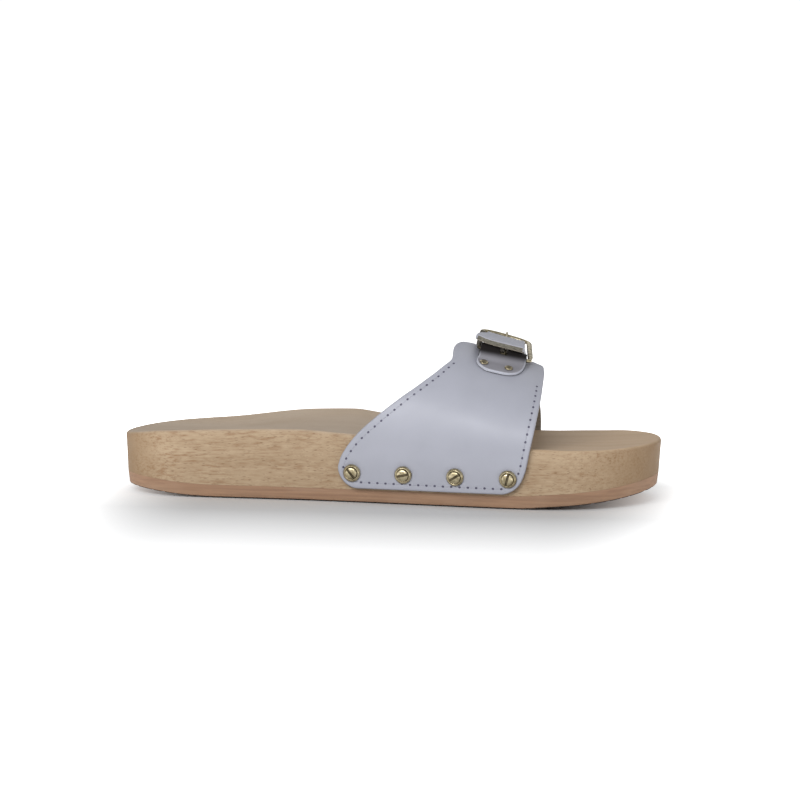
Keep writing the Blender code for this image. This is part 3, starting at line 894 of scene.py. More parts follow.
class NodeBoard:
    """Node tree of one finish, drawn a node at a time."""

    def __init__(self, owner: Material | bpy.types.World) -> None:
        """Start with the shader of a new material or room.

        Args:
            owner: The material or room.
        """
        owner.use_nodes = True
        self.owner = owner
        self.tree = owner.node_tree
        self.shader = self.tree.nodes.get("Principled BSDF") or self.tree.nodes["Background"]

    def node(self, kind: str, **inputs: object) -> bpy.types.Node:
        """Add a node and feed its inputs.

        Args:
            kind: Blender's name of the node, without its prefix.
            inputs: Sockets or values by the input's name, with underscores for blanks.

        Returns:
            The node.
        """
        made = self.tree.nodes.new("ShaderNode" + kind)
        for name, value in inputs.items():
            self.feed(made.inputs[name.replace("_", " ")], value)
        return made

    def feed(self, socket: Socket, value: object) -> None:
        """Link a socket to another, or set its value.

        Args:
            socket: Input to feed.
            value: Socket to link it to, or its value.
        """
        if isinstance(value, Socket):
            self.tree.links.new(value, socket)
        else:
            socket.default_value = value

    def spot(self, scale: Triple = (1.0, 1.0, 1.0), turn: float = 0.0) -> Socket:
        """Place on the shoe in metres, stretched by a scale for each axis.

        Args:
            scale: Stretch of each axis.
            turn: Turn about the shoe's cross axis, in radians.

        Returns:
            The stretched place.
        """
        place = self.node("TexCoord").outputs["Object"]
        if turn:
            place = self.node("Mapping", Vector=place, Rotation=(0.0, turn, 0.0)).outputs["Vector"]
        return self.node("Mapping", Vector=place, Scale=scale).outputs["Vector"]

    def noise(self, vector: Socket, scale: float, detail: float = 2.0) -> Socket:
        """Cloudy value from nought to one."""
        return self.node("TexNoise", Vector=vector, Scale=scale, Detail=detail).outputs["Fac"]

    def cells(self, vector: Socket, scale: float) -> bpy.types.Node:
        """Scattered cells, with the distance from each centre and a colour for each."""
        return self.node("TexVoronoi", Vector=vector, Scale=scale)

    def specks(self, scale: Triple, turn: float, channel: str, rim: Pair, choice: Pair) -> Socket:
        """Scatter specks, with plain ground between them.

        Args:
            scale: Stretch of each axis.
            turn: Turn about the shoe's cross axis, in radians.
            channel: Channel of the cells' colour that picks the cells with a speck.
            rim: Distances from a cell's centre at which a speck ends and is full.
            choice: Values of the channel at which a speck is left out and is full.

        Returns:
            Strength of the specks.
        """
        cells = self.cells(self.spot(scale, turn), 1.0)
        picked = self.node("SeparateColor", Color=cells.outputs["Color"]).outputs[channel]
        inside = self.between(cells.outputs["Distance"], *rim)
        return self.sums("MULTIPLY", inside, self.between(picked, *choice))

    def between(
        self, value: Socket, low: float, high: float, first: float = 0.0, last: float = 1.0
    ) -> Socket:
        """Map a range of values to another, held at its ends.

        Args:
            value: Value to map.
            low: Where the range starts.
            high: Where the range ends.
            first: Result at the start.
            last: Result at the end.

        Returns:
            The mapped value.
        """
        made = self.node("MapRange", Value=value, From_Min=low, From_Max=high, To_Min=first, To_Max=last)
        return made.outputs["Result"]

    def sums(self, operation: str, first: object, second: object) -> Socket:
        """Add, multiply or otherwise join two values.

        Args:
            operation: Blender's name of the sum.
            first: First socket or value.
            second: Second socket or value.

        Returns:
            The result.
        """
        made = self.tree.nodes.new("ShaderNodeMath")
        made.operation = operation
        self.feed(made.inputs[0], first)
        self.feed(made.inputs[1], second)
        return made.outputs["Value"]

    def blend(self, share: object, first: object, second: object) -> Socket:
        """Mix two colours by a share.

        Args:
            share: Share of the second colour.
            first: First socket or colour.
            second: Second socket or colour.

        Returns:
            The mixed colour.
        """
        made = self.tree.nodes.new("ShaderNodeMix")
        made.data_type = "RGBA"
        for socket, value in zip((made.inputs[0], made.inputs[6], made.inputs[7]), (share, first, second)):
            self.feed(socket, (*value, 1.0) if isinstance(value, tuple) else value)
        return made.outputs[2]

    def mark(self, name: str) -> Socket:
        """Read a mark that a piece's mesh carries on its points.

        Args:
            name: Name of the mark.

        Returns:
            The mark's value.
        """
        made = self.node("Attribute")
        made.attribute_name = name
        return made.outputs["Fac"]

    def relief(self, *layers: tuple[Socket, float, float]) -> None:
        """Give the shader a fine relief.

        Args:
            layers: Height, strength and depth in millimetres of each layer.
        """
        normal = None
        for height, strength, depth in layers:
            bump = self.node("Bump", Height=height, Strength=strength, Distance=depth * METRE)
            if normal is not None:
                self.feed(bump.inputs["Normal"], normal)
            normal = bump.outputs["Normal"]
        self.feed(self.shader.inputs["Normal"], normal)

    def dress(self, **inputs: object) -> Material | bpy.types.World:
        """Feed the shader's inputs and hand over what it belongs to.

        Args:
            inputs: Sockets, colours or values by the input's name, with underscores for blanks.

        Returns:
            The material or the room.
        """
        for name, value in inputs.items():
            socket = self.shader.inputs[name.replace("_", " ")]
            self.feed(socket, (*value, 1.0) if isinstance(value, tuple) and len(value) == 3 else value)
        return self.owner


@dataclass(frozen=True)
class BeechFinish:
    """Sanded beech: long grain, short dark flecks along it, and a greyer, well-worn upper face."""

    name: str = "oiled_beech"
    pale: Colour = (0.465, 0.35, 0.232)
    middle: Colour = (0.41, 0.30, 0.194)
    deep: Colour = (0.33, 0.23, 0.14)
    fleck: Colour = (0.19, 0.11, 0.06)
    worn: Colour = (0.47, 0.385, 0.30)
    worn_fore_and_painted_light: Colour = (0.55, 0.40, 0.262)
    end_grain_and_shade: Colour = (0.24, 0.15, 0.076)
    dash: Colour = (0.285, 0.175, 0.098)

    def material(self) -> Material:
        """Draw the finish.

        Returns:
            The material.
        """
        board = NodeBoard(bpy.data.materials.new(self.name))
        grain = board.noise(board.spot((7.0, 150.0, 150.0), 0.035), 1.0, 4.0)
        lines = board.noise(board.spot((26.0, 900.0, 900.0), 0.035), 1.0, 3.0)
        fleck = board.specks((330.0, 1500.0, 1500.0), 0.02, "Red", (0.34, 0.2), (0.6, 0.72))
        speck = board.specks((520.0, 2600.0, 2600.0), 0.02, "Green", (0.36, 0.2), (0.5, 0.7))
        dashes = board.noise(board.spot((170.0, 1050.0, 1050.0), 0.03), 1.0, 3.0)
        patches = board.noise(board.spot((25.0, 110.0, 110.0)), 1.0, 2.0)
        crowd = board.between(patches, 0.35, 0.65, 0.35, 0.95)
        tone = board.blend(board.between(grain, 0.2, 0.8), self.deep, self.pale)
        tone = board.blend(board.between(lines, 0.44, 0.68, 0.0, 0.5), tone, self.middle)
        tone = board.blend(board.between(lines, 0.4, 0.25, 0.0, 0.55), tone, self.deep)
        dash = board.sums("MULTIPLY", board.between(dashes, 0.5, 0.68), crowd)
        tone = board.blend(board.between(dashes, 0.46, 0.3, 0.0, 0.6), tone, self.pale)
        tone = board.blend(dash, tone, self.dash)
        tone = board.blend(board.sums("MULTIPLY", fleck, 0.6), tone, self.fleck)
        tone = board.blend(board.sums("MULTIPLY", speck, 0.45), tone, self.fleck)
        # Darker where the face looks along the board: end grain, deepened as painted shade on the heel and
        # toe ends.
        facing = board.node("SeparateXYZ", Vector=board.node("TexCoord").outputs["Normal"]).outputs["X"]
        end = board.between(board.sums("ABSOLUTE", facing, 0.0), 0.25, 0.9, 0.0, 0.85)
        tone = board.blend(end, tone, self.end_grain_and_shade)
        top = board.mark("top_share")
        cloud = board.between(board.noise(board.spot((30.0, 60.0, 60.0)), 1.0, 3.0), 0.3, 0.7, 0.62, 0.9)
        # Upper face lighter and warmer toward the toe: partly wear, partly painted light against the band's
        # shadow.
        along = board.node("SeparateXYZ", Vector=board.spot()).outputs["X"]
        worn = board.blend(board.between(along, -0.01, 0.06), self.worn, self.worn_fore_and_painted_light)
        tone = board.blend(board.sums("MULTIPLY", top, cloud), tone, worn)
        board.relief((lines, 0.12, 0.15), (fleck, -0.25, 0.08))
        rough = board.between(grain, 0.2, 0.8, 0.7, 0.58)
        return board.dress(Base_Color=tone, Roughness=rough, Specular_IOR_Level=0.25)


@dataclass(frozen=True)
class RubberFinish:
    """Matt brown rubber with fine level streaks and a little dust."""

    name: str = "brown_rubber"
    body: Colour = (0.35, 0.21, 0.128)
    streak: Colour = (0.275, 0.162, 0.099)
    dust: Colour = (0.39, 0.265, 0.182)

    def material(self) -> Material:
        """Draw the finish.

        Returns:
            The material.
        """
        board = NodeBoard(bpy.data.materials.new(self.name))
        streaks = board.noise(board.spot((30.0, 120.0, 900.0)), 1.0, 4.0)
        grit = board.noise(board.spot(), 1700.0, 2.0)
        patches = board.noise(board.spot((40.0, 40.0, 160.0)), 1.0, 3.0)
        tone = board.blend(board.between(streaks, 0.35, 0.65), self.streak, self.body)
        tone = board.blend(board.between(patches, 0.5, 0.8, 0.0, 0.6), tone, self.dust)
        board.relief((grit, 0.35, 0.12), (streaks, 0.2, 0.15))
        return board.dress(Base_Color=tone, Roughness=board.between(patches, 0.3, 0.7, 0.72, 0.86))


@dataclass(frozen=True)
class LeatherFinish:
    """Smooth satin leather: fine grain, faint clouds, an inked cut edge, painted shadow by the shade mark.
    """

    name: str
    face: Colour = (0.362, 0.37, 0.424)
    cloud: Colour = (0.346, 0.354, 0.405)
    edge: Colour = (0.30, 0.302, 0.34)
    # Near-black colour of the painted shadow.
    shade: Colour = (0.014, 0.012, 0.012)
    roughness: float = 0.48
    gloss: float = 0.42
    coat: float = 0.08

    def material(self) -> Material:
        """Draw the finish.

        Returns:
            The material.
        """
        board = NodeBoard(bpy.data.materials.new(self.name))
        clouds = board.noise(board.spot(), 75.0, 3.0)
        grain = board.cells(board.spot(), 1500.0).outputs["Distance"]
        pebble = board.noise(board.spot(), 620.0, 3.0)
        tone = board.blend(board.between(clouds, 0.3, 0.7), self.cloud, self.face)
        tone = board.blend(board.between(board.mark("border"), 0.75, 0.05), tone, self.edge)
        # Painted shadow: blend toward the shade colour by the piece's shade mark.
        tone = board.blend(board.mark("shade"), tone, self.shade)
        rough = board.between(clouds, 0.3, 0.7, self.roughness + 0.05, self.roughness - 0.03)
        board.relief((grain, 0.10, 0.05), (pebble, 0.16, 0.08))
        return board.dress(
            Base_Color=tone,
            Roughness=rough,
            Specular_IOR_Level=self.gloss,
            Coat_Weight=self.coat,
            Coat_Roughness=0.38,
        )


@dataclass(frozen=True)
class NapFinish:
    """Fibrous leather: the lining's nap, or the raw end of the strap."""

    name: str
    light: Colour
    dark: Colour
    fibre: float = 900.0
    depth: float = 0.18

    def material(self) -> Material:
        """Draw the finish.

        Returns:
            The material.
        """
        board = NodeBoard(bpy.data.materials.new(self.name))
        fibres = board.noise(board.spot((0.5, 1.0, 1.6)), self.fibre, 4.0)
        clouds = board.noise(board.spot(), 110.0, 2.0)
        tone = board.blend(board.between(fibres, 0.3, 0.7), self.dark, self.light)
        tone = board.blend(board.between(clouds, 0.5, 0.75, 0.0, 0.35), tone, self.light)
        board.relief((fibres, 0.6, self.depth))
        rough = board.between(fibres, 0.2, 0.8, 0.95, 0.8)
        return board.dress(Base_Color=tone, Roughness=rough, Sheen_Weight=0.15)


@dataclass(frozen=True)
class ThreadFinish:
    """Waxed thread, or a dark disc painting the shade inside a needle hole."""

    name: str
    light: Colour
    dark: Colour

    def material(self) -> Material:
        """Draw the finish.

        Returns:
            The material.
        """
        board = NodeBoard(bpy.data.materials.new(self.name))
        twist = board.noise(board.spot((1.0, 0.6, 1.0)), 2600.0, 2.0)
        tone = board.blend(board.between(twist, 0.3, 0.7), self.dark, self.light)
        board.relief((twist, 0.4, 0.08))
        return board.dress(Base_Color=tone, Roughness=board.between(twist, 0.3, 0.7, 0.62, 0.5))


@dataclass(frozen=True)
class BrassFinish:
    """Aged brass: bright, with a browner bloom in cloudy patches and fine rubbing marks."""

    name: str = "aged_brass"
    bright: Colour = (0.60, 0.52, 0.34)
    bloom: Colour = (0.22, 0.18, 0.1)
    roughness: float = 0.22

    def material(self) -> Material:
        """Draw the finish.

        Returns:
            The material.
        """
        board = NodeBoard(bpy.data.materials.new(self.name))
        bloom = board.noise(board.spot(), 420.0, 4.0)
        rubs = board.noise(board.spot((300.0, 2600.0, 900.0)), 1.0, 2.0)
        tone = board.blend(board.between(bloom, 0.42, 0.66, 0.0, 0.8), self.bright, self.bloom)
        rough = board.between(bloom, 0.35, 0.7, self.roughness, self.roughness + 0.2)
        board.relief((rubs, 0.12, 0.03))
        return board.dress(Base_Color=tone, Metallic=1.0, Roughness=rough)


@dataclass(frozen=True)
class PaperFinish:
    """White paper that glows more and more away from the shoe: painted light, leaving a painted soft shadow
    round it.
    """

    name: str = "studio_paper"
    white: Colour = (0.66, 0.66, 0.66)
    shade: Colour = (0.64, 0.64, 0.64)
    # Colour of the paper's painted glow.
    lamp: Colour = (1.0, 1.0, 1.0)
    side_glow: float = 0.75
    side_reach: Pair = (0.075, 0.135)
    fore_glow: float = 1.1
    fore_reach: Pair = (-0.065, -0.31)
    rear_reach: Pair = (0.05, 0.2)

    def material(self) -> Material:
        """Draw the finish.

        Returns:
            The material.
        """
        board = NodeBoard(bpy.data.materials.new(self.name))
        cloud = board.noise(board.spot(), 3.0, 2.0)
        tone = board.blend(cloud, self.white, self.shade)
        # Painted light: the glow rises with distance from the shoe to the sides, the front and the back, so
        # the unlit middle reads as a painted soft shadow.
        place = board.node("SeparateXYZ", Vector=board.spot())
        aside = board.between(board.sums("ABSOLUTE", place.outputs["X"], 0.0), *self.side_reach)
        fore = board.between(place.outputs["Y"], *self.fore_reach, 0.0, self.fore_glow)
        rear = board.between(place.outputs["Y"], *self.rear_reach, 0.0, self.fore_glow)
        aside = board.sums("MULTIPLY", board.sums("POWER", aside, 2.0), self.side_glow)
        glow = board.sums("ADD", aside, board.sums("ADD", fore, rear))
        light = {"Emission_Color": self.lamp, "Emission_Strength": glow}
        return board.dress(Base_Color=tone, Roughness=0.9, Specular_IOR_Level=0.0, **light)


@dataclass(frozen=True)
class RoomFinish:
    """White studio room: bright low down, dimmer overhead and dimmest behind the shoe."""

    name: str = "studio_room"
    low: Colour = (1.06, 1.06, 1.06)
    behind: Colour = (0.30, 0.303, 0.31)
    before: Colour = (0.52, 0.523, 0.53)
    overhead: Colour = (0.38, 0.383, 0.39)

    def room(self) -> bpy.types.World:
        """Draw the room.

        Returns:
            The room.
        """
        board = NodeBoard(bpy.data.worlds.new(self.name))
        toward = board.node("SeparateXYZ", Vector=board.node("TexCoord").outputs["Generated"])
        tone = board.blend(board.between(toward.outputs["Y"], -0.3, 0.3), self.before, self.behind)
        tone = board.blend(board.between(toward.outputs["Z"], 0.5, 0.8), tone, self.overhead)
        tone = board.blend(board.between(toward.outputs["Z"], 0.08, 0.24), self.low, tone)
        return board.dress(Color=tone, Strength=1.0)


@dataclass(frozen=True)
class Footbed:
    """Wooden board: tapering sides, an eased rim and a dished top."""

    sole: SoleForm
    steps: int = 240
    wall_rows: int = 12
    ease_rows: int = 7
    lower_ease: float = 0.08
    top_rows: int = 34
    top_power: float = 1.3
    top_reach: float = 0.96
    lip_reach: float = 2.5

    def rings(self) -> tuple[Array, Array]:
        """Stack the board's rings from its underside to its middle line.

        Returns:
            Points of the rings, and the share of the upper face at each.
        """
        sole = self.sole
        rim = sole.rim_height(self.steps)
        low = sole.outline(sole.board_taper, self.steps)
        foot = sole.at("spring", low[:, 0]) + sole.sheet + sole.gap
        rows = [(sole.board_taper + self.lower_ease, foot, 0.0)]
        for share in np.linspace(0.0, 1.0, self.wall_rows):
            height = foot + self.lower_ease
            rise = (rim - sole.rim_ease - height) * share
            rows.append((sole.board_taper * (1.0 - share), height + rise, 0.0))
        for turn in np.linspace(0.0, math.pi / 2.0, self.ease_rows)[1:]:
            inset = sole.rim_ease * (1.0 - math.cos(turn))
            rows.append((inset, rim - sole.rim_ease * (1.0 - math.sin(turn)), math.sin(turn) ** 2))
        rings = [np.column_stack([sole.outline(inset, self.steps), height]) for inset, height, _ in rows]
        marks = [np.full(2 * self.steps, mark) for _, _, mark in rows]
        edge = sole.outline(sole.rim_ease, self.steps)
        spine = sole.spine(edge)
        lip = rim - sole.top_height(edge)
        steps = np.linspace(0.0, 1.0, self.top_rows)[1:] ** self.top_power
        for share in 1.0 - steps * self.top_reach:
            plan = spine + (edge - spine) * share
            inward = np.linalg.norm(plan - edge, axis=1)
            height = sole.top_height(plan) + lip * np.exp(-inward / self.lip_reach)
            rings.append(np.column_stack([plan, height]))
            marks.append(np.ones(2 * self.steps))
        return np.array(rings), np.array(marks)

    def build(self, beech: Material) -> None:
        """Make the board.

        Args:
            beech: Finish of the wood.
        """
        rings, marks = self.rings()
        shell = Shell("top_share")
        first = shell.add_points(rings, marks.reshape(-1))
        count = 2 * self.steps
        shell.add_strips(first, count)
        shell.add_rings(first, len(rings), count)
        shell.add_strips(first + (len(rings) - 1) * count, count)
        shell.make("footbed_board", [beech], ("footbed",))


@dataclass(frozen=True)
class Outsole:
    """Rubber sheet with a turned lower edge and a fine ribbed tread, glued up to the board."""

    sole: SoleForm
    steps: int = 560
    wall_rows: int = 6
    edge_rows: int = 5
    tread_rows: int = 9
    tread_start: float = 0.03
    rib_pitch: float = 5.2
    groove_half: float = 0.7
    groove_depth: float = 0.9
    glue_rise: float = 0.29
    undercut: float = 2.4
    undercut_height: float = 0.7
    wave_reach: float = 1.3
    wave_length: float = 15.0

    def tread(self, plan: Array) -> Array:
        """Depth of the tread's grooves.

        Args:
            plan: Plan points of the underside.

        Returns:
            How far the rubber is cut away at each.
        """
        bend = self.wave_reach * np.sin(plan[:, 1] * 2.0 * math.pi / self.wave_length)
        across = np.abs((plan[:, 0] + bend) % self.rib_pitch - self.rib_pitch / 2.0)
        return self.groove_depth * (1.0 - soft_step(across, self.groove_half * 0.6, self.groove_half * 1.4))

    def build(self, rubber: Material, painted_contact_shadow: Material) -> None:
        """Make the sheet.

        Args:
            rubber: Finish of the rubber.
            painted_contact_shadow: Finish of its lower edge, near-black as painted contact shadow.
        """
        sole = self.sole
        count = 2 * self.steps
        rings = []
        edge = sole.outline(sole.sheet_taper + self.undercut, self.steps)
        spine = sole.spine(edge)
        for share in np.linspace(self.tread_start, 1.0, self.tread_rows):
            plan = spine + (edge - spine) * share
            rings.append(sole.raised(plan, self.tread(plan)))
        for turn in np.linspace(0.0, math.pi / 2.0, self.edge_rows)[1:]:
            plan = sole.outline(sole.sheet_taper + self.undercut * (1.0 - math.sin(turn)), self.steps)
            rise = self.undercut_height * (1.0 - math.cos(turn))
            cut = self.tread(plan) * math.cos(turn) ** 0.5
            rings.append(sole.raised(plan, np.maximum(rise, cut)))
        for share in np.linspace(0.0, 1.0, self.wall_rows)[1:]:
            inset = sole.sheet_taper + (sole.board_taper - sole.sheet_taper) * share
            plan = sole.outline(inset, self.steps)
            height = self.undercut_height + (sole.sheet + self.glue_rise - self.undercut_height) * share
            rings.append(sole.raised(plan, height))
        shell = Shell()
        row = shell.add_points(np.array(rings))
        shell.add_strips(row, count)
        # The lower edge rows take the second finish, a near-black painted contact shadow.
        for rows, finish in ((self.tread_rows, 0), (self.edge_rows, 1), (self.wall_rows, 0)):
            shell.add_rings(row, rows, count, finish)
            row += (rows - 1) * count
        shell.add_strips(row, count)
        shell.make("outsole_sheet", [rubber, painted_contact_shadow], ("outsole",))


@dataclass(frozen=True)
class SheetCut:
    """One leather panel of the band: its cut, its rounded edge and the creases pressed into it."""

    band: BandForm
    rows: Table
    creases: Table
    start: float
    end: float
    end_corner: float
    thickness: float
    columns: int
    screws: tuple[Pair, ...]
    start_corner: float = 9.0
    wall_nominal: float = 21.0
    arch_nominal: float = 57.0
    spacing: float = 0.9
    edge_round: float = 0.6
    lining_round: float = 0.4
    stitch_inset: float = 2.6
    groove_depth: float = 0.05
    groove_half: float = 0.7
    dimple_from: float = 3.2
    dimple_reach: float = 4.6
    dimple_depth: float = 0.28
    swell_at: float = 6.0
    swell_half: float = 1.4
    swell_share: float = 0.3
    relief_fade: Pair = (0.2, 2.0)
    most_lean: float = 3.0
    border_share: float = 0.4
    stitch_slack: float = 0.03
    border_steps: tuple[float, ...] = (
        *(0.0, 0.06, 0.16, 0.32, 0.55, 0.9, 1.4),
        *(1.8, 2.1, 2.4, 2.7, 3.0, 3.4, 4.0),
    )

    def edges(self, place: Array) -> tuple[Array, Array]:
        """Back and front edges, drawn in by the rounded corners.

        Args:
            place: Places along the section.

        Returns:
            Stations of the back edge and of the front edge.
        """
        cut = corner_cut(np.abs(place - self.start) * self.wall_nominal, self.start_corner)
        cut = cut + corner_cut(np.abs(self.end - place) * self.arch_nominal, self.end_corner)
        back = read_column(self.rows, PANEL_COLUMNS, "back", place)
        return back + cut, read_column(self.rows, PANEL_COLUMNS, "front", place) - cut

    @cached_property
    def lattice(self) -> tuple[Array, Array, Array]:
        """Lay out the sheet's lattice, closer at the borders.

        Returns:
            Stations, places and distances from the border of its points.
        """
        near = np.array(self.border_steps)
        first = self.band.arc_of(self.start)
        run = self.band.arc_of(self.end) - first
        length = abs(run)
        travel = crowded(near, length, round((length - 2.0 * near[-1]) / self.spacing))
        arcs = first + np.sign(run) * travel
        places = self.band.place_of(arcs)
        places[[0, -1]] = self.start, self.end
        back, front = self.edges(places)
        dense = []
        for line in (back, front):
            lean = np.minimum(np.sqrt(1.0 + np.gradient(line, travel) ** 2), self.most_lean)
            room = np.minimum(1.0, self.border_share * (front - back) / (near[-1] * lean))
            dense.append(near * (lean * room)[:, None])
        share = np.linspace(0.0, 1.0, self.columns + 2)[1:-1]
        low = back + dense[0][:, -1]
        high = front - dense[1][:, -1]
        middle = low[:, None] + (high - low)[:, None] * share
        stations = np.hstack([back[:, None] + dense[0], middle, front[:, None] - dense[1][:, ::-1]])
        return stations, np.broadcast_to(places[:, None], stations.shape), border_distance(stations, arcs)

    def relief(self, station: Array, place: Array, border: Array) -> Array:
        """Height of the creases, the screws' dimples and the stitching groove.

        Args:
            station: Distances from the heel's end.
            place: Places along the section.
            border: Distances from the sheet's border.

        Returns:
            Height above the plain sheet.
        """
        arcs = self.band.arc_of(place)
        spots = np.stack([station, arcs], axis=-1)
        height = -self.groove_depth * np.exp(-(((border - self.stitch_inset) / self.groove_half) ** 2))
        for from_station, from_place, to_station, to_place, half_width, rise in self.creases:
            ends = self.band.arc_of(np.array((from_place, to_place)))
            line = np.column_stack([(from_station, to_station), ends])
            height = height + rise * np.exp(-((edge_distance(spots, line, False) / half_width) ** 2))
        for screw_station, screw_place in self.screws:
            away = np.hypot(station - screw_station, arcs - self.band.arc_of(screw_place))
            dimple = 1.0 - soft_step(away, self.dimple_from, self.dimple_reach)
            height = height - self.dimple_depth * dimple
            swell = np.exp(-(((away - self.swell_at) / self.swell_half) ** 2))
            height = height + self.swell_share * self.dimple_depth * swell
        return height

    def outer_face(self, station: Array, place: Array, border: Array) -> Array:
        """Points of the outer face, rounded at the border.

        Args:
            station: Distances from the heel's end.
            place: Places along the section.
            border: Distances from the sheet's border.

        Returns:
            Points, in an array that ends in three coordinates.
        """
        lift = read_column(self.rows, PANEL_COLUMNS, "lift", place) + self.thickness
        lift = lift - corner_cut(border, self.edge_round)
        lift = lift + self.relief(station, place, border) * soft_step(border, *self.relief_fade)
        return self.band.raised(station, place, lift)

    def inner_face(self, station: Array, place: Array, border: Array) -> Array:
        """Points of the inner face, rounded a little at the border."""
        lift = read_column(self.rows, PANEL_COLUMNS, "lift", place) + corner_cut(border, self.lining_round)
        return self.band.raised(station, place, lift)

    def route(self, reach_back: float, reach_front: float) -> Array:
        """Line of the stitches: down the back edge, along the foot and up the front edge.

        Args:
            reach_back: How far up the back edge it starts, from the foot.
            reach_front: How far up the front edge it ends, from the foot.

        Returns:
            Stations and lengths of leather of close points on the line.
        """
        stations, places, _ = self.lattice
        arcs = self.band.arc_of(places)
        edge = np.stack([stations, arcs], axis=-1)
        line = np.vstack([edge[::-1, 0], edge[0, 1:-1], edge[:, -1]])
        along = np.gradient(line, axis=0)
        along /= np.maximum(np.linalg.norm(along, axis=1), TINY)[:, None]
        turned = np.column_stack([-along[:, 1], along[:, 0]])
        middle = edge.reshape(-1, 2).mean(axis=0)
        inward = np.sign((turned * (middle - line)).sum(axis=1).mean())
        moved = line + turned * inward * self.stitch_inset
        travel = np.abs(moved[:, 1] - self.band.arc_of(self.start))
        on_back = np.arange(len(line)) < len(edge)
        clear = edge_distance(moved[None], line, False)[0] > self.stitch_inset - self.stitch_slack
        return moved[clear & (travel < np.where(on_back, reach_back, reach_front))]


@dataclass(frozen=True)
class Stitching:
    """Row of waxed stitches sunk in a groove, with dark discs of painted shade at the needle holes between
    them.
    """

    sheet: SheetCut
    reach_back: float
    reach_front: float
    pitch: float = 3.75
    fine: int = 8
    thread: float = 0.2
    thread_sides: int = 8
    thread_lifts: tuple[float, ...] = (-0.2, -0.06, -0.02, -0.06, -0.2)
    hole_steps: int = 2
    hole_long: float = 0.6
    hole_wide: float = 0.5
    hole_sides: int = 12
    hole_rings: Table = ((1.0, -0.12), (1.0, 0.07), (0.6, 0.04))

    def spots(self) -> tuple[Array, Array, Array]:
        """Step along the route and stand each step on the leather.

        Returns:
            Points on the outer face at fine steps, their outward directions, and the numbers of the holes.
        """
        route = self.sheet.route(self.reach_back, self.reach_front)
        travel = travelled(route)
        count = int(travel[-1] / self.pitch) * self.fine
        steps = np.arange(count + 1) * self.pitch / self.fine
        station = np.interp(steps, travel, route[:, 0])
        place = self.sheet.band.place_of(np.interp(steps, travel, route[:, 1]))
        border = np.full_like(station, self.sheet.stitch_inset)
        points = self.sheet.outer_face(station[None], place[None], border[None])[0]
        return points, self.sheet.band.normals(station, place), np.arange(0, count + 1, self.fine)

    def build(self, name: str, thread: Material, hole: Material) -> None:
        """Make the stitches, and dark discs of painted shade at the needle holes.

        Args:
            name: Name of the panel.
            thread: Finish of the thread.
            hole: Finish of the discs at the needle holes, a painted shade.
        """
        points, normals, holes = self.spots()
        stitches = Shell()
        lifts = np.array(self.thread_lifts)[:, None]
        for start, end in zip(holes[:-1], holes[1:]):
            inside = slice(start + self.hole_steps, end - self.hole_steps + 1)
            path = points[inside] + normals[inside] * lifts
            stitches.add_tube(path, normals[inside], self.thread, self.thread_sides, False)
        stitches.make(name + "_thread", [thread])
        # Dark discs that paint the shade inside the needle holes.
        hole_shade_discs = Shell()
        turn = np.arange(self.hole_sides) * 2.0 * math.pi / self.hole_sides
        for number in holes:
            before = max(number - 1, 0)
            along = points[min(number + 1, len(points) - 1)] - points[before]
            along /= np.linalg.norm(along)
            across = np.cross(normals[number], along)
            long = np.cos(turn)[:, None] * along * self.hole_long
            oval = long + np.sin(turn)[:, None] * across * self.hole_wide
            foot = points[number]
            out = normals[number]
            rings = [foot + oval * share + out * lift for share, lift in self.hole_rings]
            hole_shade_discs.add_capped(np.array(rings))
        hole_shade_discs.make(name + "_needle_holes", [hole])


